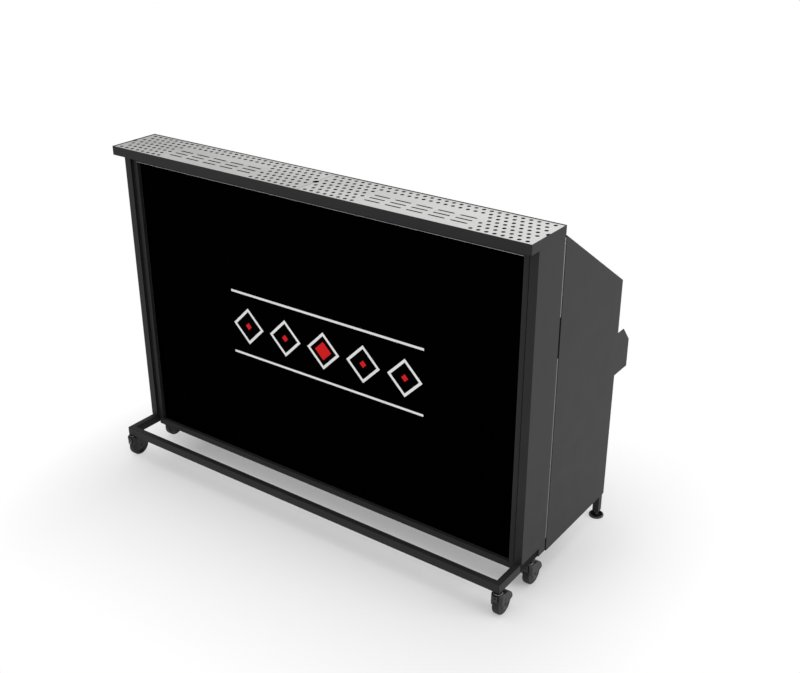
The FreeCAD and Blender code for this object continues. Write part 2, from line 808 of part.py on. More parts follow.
def ice_bin():
    place = bin_place()
    shell, floor = hanging_pan(place, BIN_DEPTH, BIN_WALL, BIN_FLANGE, BIN_TAPER)
    x = (place[0] + place[1]) / 2
    y = (place[2] + place[3]) / 2
    low = floor - DRAIN_LENGTH
    pipe = round_bar(x, y, low, floor, DRAIN_RADIUS, DRAIN_SIDES)
    past = floor + BIN_WALL + OVERRUN
    bore = round_bar(x, y, low - OVERRUN, past, DRAIN_BORE_RADIUS, DRAIN_SIDES)
    save(shell.fuse(pipe).cut(bore), "ice_bin")


def ice_bin_lid():
    x0, x1, y0, y1 = bin_place()
    seat = worktop_top + RUNNING_GAP + BIN_WALL + RUNNING_GAP
    reach = BIN_FLANGE - LID_GAP
    deck = block(x0 - reach, x1 + reach, y0 - reach, y1 + reach, seat, seat + LID_SHEET)
    # Four locating strips are spot-welded under the deck, the short ones between the long ones
    inset = BIN_WALL + LID_GAP
    a = x0 + inset
    b = x1 - inset
    c = y0 + inset
    d = y1 - inset
    low = seat - LID_LIP
    short_start = c + LID_SHEET + RUNNING_GAP
    short_end = d - LID_SHEET - RUNNING_GAP
    strips = [
        block(a, b, c, c + LID_SHEET, low, seat),
        block(a, b, d - LID_SHEET, d, low, seat),
        block(a, a + LID_SHEET, short_start, short_end, low, seat),
        block(b - LID_SHEET, b, short_start, short_end, low, seat),
    ]
    x = (x0 + x1) / 2
    y = (y0 + y1) / 2
    base = seat + LID_SHEET
    half = GRIP_LENGTH / 2
    grip = block(x - half, x + half, y - GRIP_WIDTH / 2, y + GRIP_WIDTH / 2, base, base + GRIP_HEIGHT)
    finger_gap = block(
        x - half + GRIP_WIDTH, x + half - GRIP_WIDTH, y - GRIP_WIDTH, y + GRIP_WIDTH,
        base, base + GRIP_HEIGHT - GRIP_WIDTH,
    )
    lid = deck.fuse(grip.cut(finger_gap)).removeSplitter()
    save(Part.makeCompound([lid] + strips), "ice_bin_lid")


def garnish_pans():
    for number in range(PAN_COUNT):
        shell, floor = hanging_pan(pan_place(number), PAN_DEPTH, PAN_WALL, PAN_FLANGE, PAN_WALL)
        save(shell, "garnish_pan_" + str(number + 1))


def speed_rail():
    t = RAIL_SHEET
    x = rail_x
    wall_top = rail_top - RAIL_CHAMFER_HEIGHT
    floor = block(-x, x, worktop_rear, rail_rear, rail_bottom, rail_bottom + t)
    front = block(-x, x, worktop_rear, worktop_rear + t, rail_bottom, rail_top + RAIL_OVERLAP)
    outer = block(-x, x, rail_rear - t, rail_rear, rail_bottom, wall_top)
    lip = block(-x, x, rail_rear - RAIL_LIP, rail_rear, wall_top - t, wall_top)
    end_outline = [
        (worktop_rear, rail_bottom),
        (rail_rear, rail_bottom),
        (rail_rear, wall_top),
        (rail_rear - RAIL_CHAMFER_DEPTH, rail_top),
        (worktop_rear, rail_top),
    ]
    end = side_prism(end_outline, x - t, x)
    save(floor.fuse([front, outer, lip, end, mirrored(end)]).removeSplitter(), "speed_rail")


def rail_bolts():
    bolts = []
    z = rail_top + RAIL_OVERLAP / 2
    face = worktop_rear + RAIL_SHEET
    pitch = 2 * rail_x / BOLT_COLUMNS
    for i in range(BOLT_COLUMNS):
        x = (i - (BOLT_COLUMNS - 1) / 2) * pitch
        ring = [point(x + a, face, z + b) for a, b in ring_points(BOLT_RADIUS, NUT_SIDES)]
        bolts.append(Part.Face(Part.makePolygon(ring + ring[:1])).extrude(point(0, BOLT_HEAD, 0)))
    save(Part.makeCompound(bolts), "rail_bolts")


# Casters, each built round a swivel axis at x, y
def caster_stems():
    stems = []
    for y in (front_swivel_y, rear_swivel_y):
        low = BASE_LEVEL - COLLAR_HEIGHT
        shank_top = BASE_LEVEL + STEM_SHANK_LENGTH
        pin_low = low - SWIVEL_PIN_LENGTH
        collar = round_bar(swivel_x, y, low, BASE_LEVEL, COLLAR_RADIUS, BOSS_SIDES)
        shank = round_bar(swivel_x, y, BASE_LEVEL, shank_top, STEM_SHANK_RADIUS, STEM_SIDES)
        pin = round_bar(swivel_x, y, pin_low, low, SWIVEL_PIN_RADIUS, STEM_SIDES)
        stem = collar.fuse(shank).fuse(pin)
        stems.append(stem)
        stems.append(mirrored(stem))
    save(Part.makeCompound(stems), "caster_stems")


def arc_points(y, z, radius, start_deg, end_deg, steps):
    points = []
    for i in range(steps + 1):
        angle = math.radians(start_deg + (end_deg - start_deg) * i / steps)
        points.append((y + radius * math.cos(angle), z + radius * math.sin(angle)))
    return points


def caster_hood(x, y):
    # A hood over the wheel, a fork leg down each side of it and the boss of the swivel
    axle_y = y + CASTER_TRAIL
    room_half = WHEEL_WIDTH / 2 + WHEEL_SIDE_GAP
    half = room_half + FORK_SHEET
    inner = WHEEL_RADIUS + GUARD_GAP
    outer = inner + GUARD_SHEET
    over = arc_points(axle_y, WHEEL_RADIUS, outer, GUARD_START_DEG, GUARD_END_DEG, GUARD_STEPS)
    under = arc_points(axle_y, WHEEL_RADIUS, inner, GUARD_END_DEG, GUARD_START_DEG, GUARD_STEPS)
    guard = side_prism(over + under, x - half, x + half)
    foot = arc_points(
        axle_y, WHEEL_RADIUS, FORK_FOOT_RADIUS, FORK_FOOT_START_DEG, FORK_FOOT_END_DEG, FORK_FOOT_STEPS)
    right_leg = side_prism(over + foot, x + room_half, x + half)
    left_leg = side_prism(over + foot, x - half, x - room_half)
    boss_top = BASE_LEVEL - COLLAR_HEIGHT - RUNNING_GAP
    boss = round_bar(x, y, boss_top - BOSS_HEIGHT, boss_top, BOSS_RADIUS, BOSS_SIDES)
    room_outline = [(axle_y + a, WHEEL_RADIUS + b) for a, b in ring_points(inner, WHEEL_SIDES)]
    boss = boss.cut(side_prism(room_outline, x - room_half, x + room_half))
    ear_low = PEDAL_PIVOT - PEDAL_EAR_HEIGHT / 2
    ear = block(
        x - PEDAL_EAR_WIDTH / 2, x + PEDAL_EAR_WIDTH / 2,
        y - PEDAL_REACH + PEDAL_PLAY, y, ear_low, ear_low + PEDAL_EAR_HEIGHT,
    )
    hood = guard.fuse([right_leg, left_leg, boss, ear])
    pin_bore = round_bar(
        x, y, boss_top + RUNNING_GAP - SWIVEL_PIN_LENGTH - OVERRUN, boss_top + OVERRUN,
        SWIVEL_PIN_RADIUS + SWIVEL_PLAY, STEM_SIDES,
    )
    reach = half + OVERRUN
    axle_stations = [(x - reach, AXLE_RADIUS + AXLE_PLAY), (x + reach, AXLE_RADIUS + AXLE_PLAY)]
    axle_bore = cross_turning(axle_y, WHEEL_RADIUS, axle_stations, WHEEL_SIDES)
    return hood.cut(pin_bore).cut(axle_bore).cut(pedal_pin(x, y, PEDAL_PLAY / 2, half))


def pedal_pin(x, y, play, half):
    pivot_y = y - PEDAL_REACH + PEDAL_SHEET / 2 + PEDAL_PLAY
    stations = [(x - half, PEDAL_PIN_RADIUS + play), (x + half, PEDAL_PIN_RADIUS + play)]
    return cross_turning(pivot_y, PEDAL_PIVOT, stations, PIN_SIDES)


def caster_pedal(x, y):
    front = y - PEDAL_REACH
    outline = [
        (front + PEDAL_LEAN, PEDAL_BOTTOM),
        (front + PEDAL_LEAN + PEDAL_TOE_SHEET, PEDAL_BOTTOM),
        (front + PEDAL_SHEET, PEDAL_TOP),
        (front, PEDAL_TOP),
    ]
    half = PEDAL_WIDTH / 2
    plate = side_prism(outline, x - half, x + half)
    ear_half = PEDAL_EAR_WIDTH / 2 + PEDAL_PLAY
    ear_low = PEDAL_PIVOT - PEDAL_EAR_HEIGHT
    slot = block(
        x - ear_half, x + ear_half, front - OVERRUN, front + PEDAL_SHEET + PEDAL_LEAN,
        ear_low, PEDAL_PIVOT + PEDAL_EAR_HEIGHT,
    )
    return plate.cut(slot).fuse(pedal_pin(x, y, 0.0, half))


def caster_wheel(x, y):
    # A dished wheel with the ends of its axle
    half = WHEEL_WIDTH / 2
    rim = WHEEL_RADIUS - WHEEL_CHAMFER
    profile = [
        (half + WHEEL_SIDE_GAP + FORK_SHEET + AXLE_HEAD, AXLE_RADIUS),
        (half - WHEEL_DISH_DEPTH, AXLE_RADIUS),
        (half - WHEEL_DISH_DEPTH, WHEEL_DISH_RADIUS),
        (half, WHEEL_DISH_RADIUS),
        (half, rim),
        (half - WHEEL_CHAMFER, WHEEL_RADIUS),
    ]
    stations = [(x - reach, radius) for reach, radius in profile]
    stations += [(x + reach, radius) for reach, radius in reversed(profile)]
    return cross_turning(y + CASTER_TRAIL, WHEEL_RADIUS, stations, WHEEL_SIDES)


def casters():
    for place, y in (("front", front_swivel_y), ("rear", rear_swivel_y)):
        save_pair(caster_hood(swivel_x, y), "caster_hood_" + place)
        save_pair(caster_pedal(swivel_x, y), "caster_pedal_" + place)
        save_pair(caster_wheel(swivel_x, y), "caster_wheel_" + place)


chassis_front_rail()
chassis_side_rails()
chassis_rear_rail()
chassis_end_plugs()
cheeks()
frame_stiles()
frame_rails()
front_panel()
panel_retainers()
back_cover()
bar_top()
plate_ledges()
drip_plates()
hinges()
wing_panels()
legs()
levelling_feet()
worktop_ledges()
worktop_sections()
worktop_apron()
ice_bin()
ice_bin_lid()
garnish_pans()
speed_rail()
rail_bolts()
caster_stems()
casters()
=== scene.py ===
import collections
import math

import bmesh
import bpy
from mathutils import Matrix, Vector


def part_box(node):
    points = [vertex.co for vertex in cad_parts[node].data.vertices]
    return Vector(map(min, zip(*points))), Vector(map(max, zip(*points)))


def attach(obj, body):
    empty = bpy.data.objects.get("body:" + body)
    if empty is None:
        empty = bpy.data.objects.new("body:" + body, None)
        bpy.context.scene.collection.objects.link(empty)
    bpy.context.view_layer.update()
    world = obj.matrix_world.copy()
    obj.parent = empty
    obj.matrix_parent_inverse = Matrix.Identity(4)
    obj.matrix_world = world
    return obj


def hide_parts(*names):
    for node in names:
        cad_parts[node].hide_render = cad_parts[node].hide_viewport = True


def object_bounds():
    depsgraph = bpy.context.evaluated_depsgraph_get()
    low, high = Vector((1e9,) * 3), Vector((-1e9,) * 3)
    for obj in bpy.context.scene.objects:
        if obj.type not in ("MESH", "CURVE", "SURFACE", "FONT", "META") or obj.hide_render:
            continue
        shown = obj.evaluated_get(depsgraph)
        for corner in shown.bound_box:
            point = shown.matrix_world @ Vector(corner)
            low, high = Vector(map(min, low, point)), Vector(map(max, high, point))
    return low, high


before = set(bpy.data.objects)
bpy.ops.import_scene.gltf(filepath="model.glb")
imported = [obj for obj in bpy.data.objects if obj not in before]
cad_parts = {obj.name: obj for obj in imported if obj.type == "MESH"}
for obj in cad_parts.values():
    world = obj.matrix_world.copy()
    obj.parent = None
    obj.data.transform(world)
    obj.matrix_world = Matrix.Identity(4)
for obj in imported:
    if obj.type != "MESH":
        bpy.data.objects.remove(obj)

# Portable bar: powder coated sheet and tube, punched stainless drip plates,
# piano hinges, hooded casters and a drop-in worktop. Metres, guests' side at -Y.

MM = 0.001
CAD_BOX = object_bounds()
SIDES = (("left", -1), ("right", 1))
CASTERS = [place + "_" + side for place in ("front", "rear") for side, _ in SIDES]

Finish = collections.namedtuple("Finish", "material slot")

UP = Vector((0, 0, 1))

# Noise between these values spans a finish's two colours
NOISE_LOW = 0.3
NOISE_HIGH = 0.7
NOISE_DETAIL = 3.0
MARK_ROUGHNESS = 0.6

# Folds, corners and cut edges
BEND = 1.3 * MM
BEND_STEPS = 3
SHEET_WALL = 2 * MM
THIN_WALL = 1.5 * MM
BROKEN_EDGE = 0.3 * MM
TUBE_CORNER = 1.8 * MM
WIDE_FOLD = 2 * MM
MERGE = 0.002 * MM
FLAT_WITHIN = math.radians(0.4)
FOLD_ANGLE = math.radians(30)
CREASE_ANGLE = math.radians(32)

# A face is a sheet's broad side when its area over its perimeter is more than this many walls
BROAD = 1.2
# The share of a neighbouring edge that a bend, or a line's round corner, may take
BEND_SHARE = 0.42
CORNER_SHARE = 0.45

# Punching
PLATE_SHEET = 0.8 * MM
PUNCH_RADIUS = 6.3 * MM
PUNCH_PITCH = 25.17 * MM
PUNCH_ROW_PITCH = 25.2 * MM
PUNCH_ROWS = 7
PUNCH_FIRST = 20 * MM
PUNCH_FIRST_ROW = 19.1 * MM
PUNCH_SIDES = 20
STAGGER = 0.5
FINGER_RADIUS = 10 * MM
FINGER_STEPS = 14
FINGER_BEYOND_END = 1.0 * MM
FIELD_START = 208 * MM
FIELD_END = 587 * MM
FIELD_ROWS = 5
SLOT_LENGTH = 56 * MM
SLOT_WIDTH = 7 * MM
SLOT_PITCH = 74 * MM
SLOT_ROWS = 3
SLOT_COLUMNS = 5
SLOT_END_STEPS = 5
# An end's radius over the slot's width
SLOT_END_SHARE = 0.495


def linear(hex_colour):
    """The linear colour that a shader takes for an sRGB hex value."""
    parts = [int(hex_colour[i:i + 2], 16) / 255 for i in (1, 3, 5)]
    return (*[c / 12.92 if c <= 0.04045 else ((c + 0.055) / 1.055) ** 2.4 for c in parts], 1.0)


MATH = "ShaderNodeMath"


def add(tree, kind, inputs=None, **settings):
    """Adds a node with its settings; an input takes a value, a socket or a node's first output."""
    node = tree.nodes.new(kind)
    for name, value in settings.items():
        setattr(node, name, value)
    for key, value in (inputs or {}).items():
        if isinstance(value, bpy.types.Node):
            value = value.outputs[0]
        if isinstance(value, bpy.types.NodeSocket):
            tree.links.new(value, node.inputs[key])
        else:
            node.inputs[key].default_value = value
    return node


# Finishes


def finish(
        name, slot, low, high, dull, clouds, marks, relief, drawn=(1.0, 1.0, 1.0), streak=0.0, plain=None):
    """A finish whose colour and gloss drift in clouds, with finer marks that raise the surface.
    Both sizes are in metres; drawn stretches the marks, and streak is their share in the colour.
    Relief is the marks' strength and depth, and plain holds the numbers that are the same all over."""
    material = bpy.data.materials.new(name)
    material.use_nodes = True
    tree = material.node_tree
    tree.nodes.clear()
    place = add(tree, "ShaderNodeTexCoord").outputs["Object"]
    drift = add(tree, "ShaderNodeTexNoise", {"Vector": place, "Scale": 1.0 / clouds, "Detail": NOISE_DETAIL})
    course = add(tree, "ShaderNodeMapping", {"Vector": place, "Scale": drawn})
    grain = add(tree, "ShaderNodeTexNoise", {
        "Vector": course, "Scale": 1.0 / marks, "Detail": NOISE_DETAIL, "Roughness": MARK_ROUGHNESS})
    both = add(tree, "ShaderNodeMix", {0: streak, 2: drift, 3: grain})
    share = add(tree, "ShaderNodeMapRange", {"Value": both, "From Min": NOISE_LOW, "From Max": NOISE_HIGH})
    colour = add(tree, "ShaderNodeMix", {0: share, 6: linear(low), 7: linear(high)}, data_type="RGBA")
    gloss = add(tree, "ShaderNodeMapRange", {
        "Value": both, "From Min": NOISE_LOW, "From Max": NOISE_HIGH, "To Min": dull[0], "To Max": dull[1]})
    raised = add(tree, "ShaderNodeBump", {"Height": grain, "Strength": relief[0], "Distance": relief[1]})
    surface = add(tree, "ShaderNodeBsdfPrincipled", {
        "Base Color": colour.outputs[2], "Roughness": gloss, "Normal": raised, **(plain or {})})
    add(tree, "ShaderNodeOutputMaterial", {"Surface": surface})
    return Finish(material, slot)


# Polyester powder, sprayed and baked on steel: a fine orange peel that spreads every highlight.
# The peel's real pitch of 0.6 mm is drawn at 1.4 mm, so that it shows.
COAT = finish(
    "black_powder_coat", "black_steel", "#222223", "#282829", (0.5, 0.58), 90 * MM, 1.4 * MM,
    (0.25, 0.12 * MM), plain={"Specular IOR Level": 0.18})

# Stainless sheet, belt brushed along the bar: fine scratches that draw highlights out across them.
# Scratches 0.1 mm apart are drawn 0.7 mm apart.
STAINLESS = finish(
    "brushed_stainless_sheet", "stainless", "#d6d6d4", "#e3e3e1", (0.3, 0.36), 140 * MM, 0.7 * MM,
    (0.18, 0.05 * MM), (0.02, 1.0, 1.0), 0.7, {"Metallic": 1.0, "Anisotropic": 0.4})

# Stainless sheet, deep drawn and satin polished: soft clouds and no grain direction.
DRAWN = finish(
    "satin_drawn_stainless", "stainless", "#c5c6c6", "#cacbcb", (0.27, 0.31), 120 * MM, MM,
    (0.04, 0.04 * MM), plain={"Metallic": 1.0})

# Stainless strip, rolled round its pin and drawn: bright barrels with marks along them.
HINGE = finish(
    "rolled_hinge_strip", "hinge_steel", "#747473", "#888887", (0.28, 0.38), 60 * MM, 0.8 * MM,
    (0.15, 0.05 * MM), (1.0, 1.0, 0.04), 0.8, {"Metallic": 1.0})

# Cast acrylic, dyed black through, with a non-glare face: the deepest black on the bar.
ACRYLIC = finish(
    "matt_black_acrylic", "panel_acrylic", "#000000", "#010101", (0.5, 0.56), 220 * MM, MM,
    (0.05, 0.02 * MM), plain={"Specular IOR Level": 0.001})

# Vinyl film, cast, cut and laid on the panel: even colour with a soft sheen.
WHITE_FILM = finish(
    "white_film", "panel_acrylic", "#f7f7f5", "#fefefd", (0.5, 0.6), 60 * MM, 1.2 * MM,
    (0.04, 0.02 * MM), plain={"Specular IOR Level": 0.3})
RED_FILM = finish(
    "red_film", "panel_acrylic", "#de0d12", "#ea1217", (0.5, 0.6), 60 * MM, 1.2 * MM,
    (0.04, 0.02 * MM), plain={"Specular IOR Level": 0.15})

# Aluminium composite, coil coated black: flat and satin, with a faint roller texture across it.
COMPOSITE = finish(
    "coil_coated_composite", "cover_sheet", "#252527", "#2a2a2c", (0.4, 0.48), 120 * MM, 3 * MM,
    (0.06, 0.05 * MM), (0.15, 1.0, 1.0), 0.5, {"Specular IOR Level": 0.35})

# Nylon, injection moulded in a spark-eroded tool: a fine matt grain, drawn 0.8 mm wide.
NYLON = finish(
    "moulded_black_nylon", "black_plastic", "#111112", "#181819", (0.4, 0.5), 12 * MM, 0.8 * MM,
    (0.25, 0.08 * MM), plain={"Specular IOR Level": 0.4})

# Rubber, nearly black and dull: the foot pads and stem caps. On the strips at each cheek's groove and on each
# side rail it is painted shade, so these read as dark lines.
RUBBER_AND_PAINTED_SHADE = finish(
    "black_rubber_and_painted_shade", "black_plastic", "#080808", "#0e0e0e", (0.7, 0.8), 30 * MM, 1.5 * MM,
    (0.1, 0.05 * MM), plain={"Specular IOR Level": 0.1})

# Polyurethane, cast on the wheel: smooth, dull and a little dusty.
TREAD = finish(
    "cast_polyurethane_tread", "caster_tread", "#0f0f10", "#171718", (0.5, 0.68), 9 * MM, 1.5 * MM,
    (0.06, 0.05 * MM), plain={"Specular IOR Level": 0.35})

# Steel, turned and blackened in an oxide bath: dark, with a dull metal sheen.
BLACKENED = finish(
    "blackened_turned_steel", "zinc_steel", "#1b1b1c", "#242425", (0.4, 0.5), 6 * MM, 0.8 * MM,
    (0.1, 0.05 * MM), plain={"Specular IOR Level": 0.4})

# Rubber, moulded round the foot's rim: greyer than the dish inside it, a painted highlight on the rim.
FOOT_RIM_HIGHLIGHT = finish(
    "foot_rim_painted_highlight", "black_plastic", "#343435", "#3e3e3f", (0.45, 0.55), 10 * MM, MM,
    (0.1, 0.05 * MM), plain={"Specular IOR Level": 0.4})

# Zinc, electroplated on turned and pressed steel: bright, slightly blue and cloudy.
ZINC = finish(
    "bright_zinc_plate", "zinc_steel", "#a6a8aa", "#bbbdc0", (0.28, 0.4), 5 * MM, MM,
    (0.05, 0.05 * MM), plain={"Metallic": 1.0})


# Making pieces


def in_scene(name, data):
    """An object with its data, linked to the scene."""
    thing = bpy.data.objects.new(name, data)
    bpy.context.collection.objects.link(thing)
    return thing


def piece(name, mesh, look, body, *replaced):
    """A finished piece that rides on a body and may stand for CAD nodes."""
    mesh.materials.clear()
    mesh.materials.append(look.material)
    thing = in_scene(name, mesh)
    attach(thing, body)
    if replaced:
        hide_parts(*replaced)
    return thing


def as_mesh(shape, name, smooth=None):
    """Turns a bmesh into a mesh, smooth where its faces meet at less than an angle in degrees."""
    bmesh.ops.remove_doubles(shape, verts=shape.verts, dist=MERGE)
    bmesh.ops.recalc_face_normals(shape, faces=shape.faces)
    mesh = bpy.data.meshes.new(name)
    shape.to_mesh(mesh)
    shape.free()
    if smooth:
        mesh.shade_smooth()
        mesh.set_sharp_from_angle(angle=math.radians(smooth))
    return mesh


def shaped(name, shape, look, body, *replaced, smooth=None):
    """A finished piece from a bmesh, with the same name as its mesh."""
    return piece(name, as_mesh(shape, name, smooth), look, body, *replaced)


def base_middle(low, high):
    """The middle of a box's underside."""
    return Vector(((low.x + high.x) / 2, (low.y + high.y) / 2, low.z))


def carried_over(node, look):
    """A CAD node whose shape is right, given its material."""
    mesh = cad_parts[node].data
    mesh.materials.clear()
    mesh.materials.append(look.material)


def solids_apart(node):
    """A CAD node as one shape in which solids that touch share no corner.
    Its triangles come solid by solid, and a solid is whole when every edge has met its opposite."""
    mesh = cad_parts[node].data
    shape = bmesh.new()
    unmatched = set()
    corners = {}
    for polygon in mesh.polygons:
        places = [tuple(round(c, 6) for c in mesh.vertices[i].co) for i in polygon.vertices]
        if len(set(places)) < 3:
            continue
        for place in places:
            if place not in corners:
                corners[place] = shape.verts.new(place)
        shape.faces.new([corners[place] for place in places])
        for i in range(3):
            edge = (places[i - 1], places[i])
            opposite = (places[i], places[i - 1])
            unmatched ^= {opposite if opposite in unmatched else edge}
        if not unmatched:
            corners = {}
    return shape


def breadth(face):
    """About half a strip's width."""
    return face.calc_area() / max(face.calc_perimeter(), MERGE)


def edge_radius(edge, fold, wall, rim):
    """A fold's outside or inside radius, or the small radius of a cut edge, within the room there is."""
    if len(edge.link_faces) != 2 or edge.calc_face_angle(0.0) < FOLD_ANGLE:
        return 0.0
    radius = rim
    if min(breadth(face) for face in edge.link_faces) > BROAD * wall:
        radius = fold if edge.calc_face_angle_signed(0.0) > 0 else max(fold - wall, rim)
    neighbours = [other for vert in edge.verts for other in vert.link_edges if other is not edge]
    room = min(other.calc_length() for other in neighbours)
    return min(radius, BEND_SHARE * room)


def softened(node, look, body, fold=BEND, wall=SHEET_WALL, rim=BROKEN_EDGE):
    """A CAD piece with its folds bent to a radius and its cut edges broken."""
    shape = solids_apart(node)
    bmesh.ops.dissolve_limit(
        shape, angle_limit=FLAT_WITHIN, verts=shape.verts, edges=shape.edges, use_dissolve_boundaries=False)
    bmesh.ops.recalc_face_normals(shape, faces=shape.faces)
    weight = shape.edges.layers.float.new("bevel_weight_edge")
    for edge in shape.edges:
        radius = edge_radius(edge, fold, wall, rim)
        edge[weight] = radius / fold
        edge.smooth = radius > 0 or edge.calc_face_angle(0.0) < CREASE_ANGLE
    for face in shape.faces:
        face.smooth = True
    mesh = bpy.data.meshes.new(node + "_formed")
    shape.to_mesh(mesh)
    shape.free()
    thing = piece(node + "_formed", mesh, look, body, node)
    bevel = thing.modifiers.new("bends", "BEVEL")
    bevel.limit_method = "WEIGHT"
    bevel.width = fold
    bevel.segments = BEND_STEPS
    bevel.use_clamp_overlap = False
    bevel.harden_normals = True
    return thing


def rounded_line(points, radius, steps=3):
    """A line with its inner corners turned on a radius."""
    line = [Vector(points[0])]
    for before, corner, after in zip(points, points[1:], points[2:]):
        before, corner, after = Vector(before), Vector(corner), Vector(after)
        reach = min(radius, CORNER_SHARE * (before - corner).length, CORNER_SHARE * (after - corner).length)
        start = corner + (before - corner).normalized() * reach
        stop = corner + (after - corner).normalized() * reach
        for i in range(steps + 1):
            t = i / steps
            line.append((1 - t) ** 2 * start + 2 * t * (1 - t) * corner + t ** 2 * stop)
    line.append(Vector(points[-1]))
    return line


def turn(shape, stations, centre, axis, sides):
    """Adds a turned form: stations are (along, out) from a centre along an axis, closed at radius 0."""
    across = UP if abs(axis.z) < 0.5 else Vector((1, 0, 0))
    other = axis.cross(across)
    angles = [2 * math.pi * i / sides for i in range(sides)]
    directions = [across * math.cos(a) + other * math.sin(a) for a in angles]
    rings = []
    for along, out in stations:
        hub = centre + axis * along
        if out < MERGE:
            rings.append([shape.verts.new(hub)])
        else:
            rings.append([shape.verts.new(hub + direction * out) for direction in directions])
    for low, high in zip(rings, rings[1:]):
        for i in range(sides):
            before, here = (i - 1) % len(low), i % len(low)
            above, above_before = i % len(high), (i - 1) % len(high)
            distinct = list(dict.fromkeys([low[before], low[here], high[above], high[above_before]]))
            if len(distinct) > 2:
                shape.faces.new(distinct)


def box_part(shape, low, high):
    """Adds a block between two corners."""
    size = Vector(high) - Vector(low)
    place = Matrix.Translation((Vector(low) + Vector(high)) / 2) @ Matrix.Diagonal((*size, 1))
    bmesh.ops.create_cube(shape, size=1.0, matrix=place)


def prism(shape, outline, start, end):
    """Adds a bar of one section, a list of (y, z), between two places along the bar."""
    rows = [[shape.verts.new((x, y, z)) for y, z in outline] for x in (start, end)]
    for row in rows:
        shape.faces.new(row)
    for i in range(len(outline)):
        shape.faces.new([rows[0][i - 1], rows[0][i], rows[1][i], rows[1][i - 1]])


# Geometry Nodes rules


def rule(name, takes, gives, sizes, counts=(), extra=()):
    """An empty rule with named inputs and outputs, each a name and a kind of socket."""
    tree = bpy.data.node_groups.new(name, "GeometryNodeTree")
    listed = [(each, "NodeSocketGeometry") for each in takes]
    listed += [(each, "NodeSocketFloat") for each in sizes]
    listed += [(each, "NodeSocketInt") for each in counts]
    listed += list(extra)
    for each, kind in listed:
        tree.interface.new_socket(each, in_out="INPUT", socket_type=kind)
    for each, kind in gives:
        tree.interface.new_socket(each, in_out="OUTPUT", socket_type=kind)
    return tree, add(tree, "NodeGroupInput").outputs


MADE = [("Made", "NodeSocketGeometry")]
FINISH_INPUT = [("Finish", "NodeSocketMaterial")]


def rule_result(tree, given, geometry):
    """Ends a rule: real geometry with its finish."""
    real = add(tree, "GeometryNodeRealizeInstances", {"Geometry": geometry})
    dressed = add(tree, "GeometryNodeSetMaterial", {"Geometry": real, "Material": given["Finish"]})
    add(tree, "NodeGroupOutput", {"Made": dressed})
    return tree


def made_by(tree, outline, values):
    """The plain mesh that a rule makes from an outline and its values."""
    thing = in_scene(tree.name, outline)
    modifier = thing.modifiers.new(tree.name, "NODES")
    modifier.node_group = tree
    for item in tree.interface.items_tree:
        if item.item_type == "SOCKET" and item.in_out == "INPUT" and item.name in values:
            modifier[item.identifier] = values[item.name]
    evaluated = thing.evaluated_get(bpy.context.evaluated_depsgraph_get())
    mesh = bpy.data.meshes.new_from_object(evaluated)
    bpy.data.objects.remove(thing)
    return mesh


def staggered_spots_rule():
    """Points in rows, every second row shifted, with each one's distance from the joint and its row."""
    gives = [("Spots", "NodeSocketGeometry"), ("Along", "NodeSocketFloat"), ("Row", "NodeSocketFloat")]
    tree, given = rule(
        "staggered_spots", [], gives, ["First", "First Row", "Pitch", "Row Pitch", "Stagger", "Side"],
        ["Rows", "Columns"])
    index = add(tree, "GeometryNodeInputIndex")
    turns = add(tree, MATH, {0: index, 1: given["Columns"]}, operation="DIVIDE")
    row = add(tree, MATH, {0: turns}, operation="FLOOR")
    column = add(tree, MATH, {0: index, 1: given["Columns"]}, operation="MODULO")
    odd = add(tree, MATH, {0: row, 1: 2.0}, operation="MODULO")
    shifted = add(tree, MATH, {0: odd, 1: given["Stagger"], 2: column}, operation="MULTIPLY_ADD")
    along = add(tree, MATH, {0: shifted, 1: given["Pitch"], 2: given["First"]}, operation="MULTIPLY_ADD")
    across = add(tree, MATH, {0: row, 1: given["Row Pitch"], 2: given["First Row"]}, operation="MULTIPLY_ADD")
    sided = add(tree, MATH, {0: along, 1: given["Side"]}, operation="MULTIPLY")
    spot = add(tree, "ShaderNodeCombineXYZ", {"X": sided, "Y": across})
    total = add(tree, MATH, {0: given["Rows"], 1: given["Columns"]}, operation="MULTIPLY")
    spots = add(tree, "GeometryNodePoints", {"Count": total, "Position": spot})
    add(tree, "NodeGroupOutput", {"Spots": spots, "Along": along, "Row": row})
    return tree


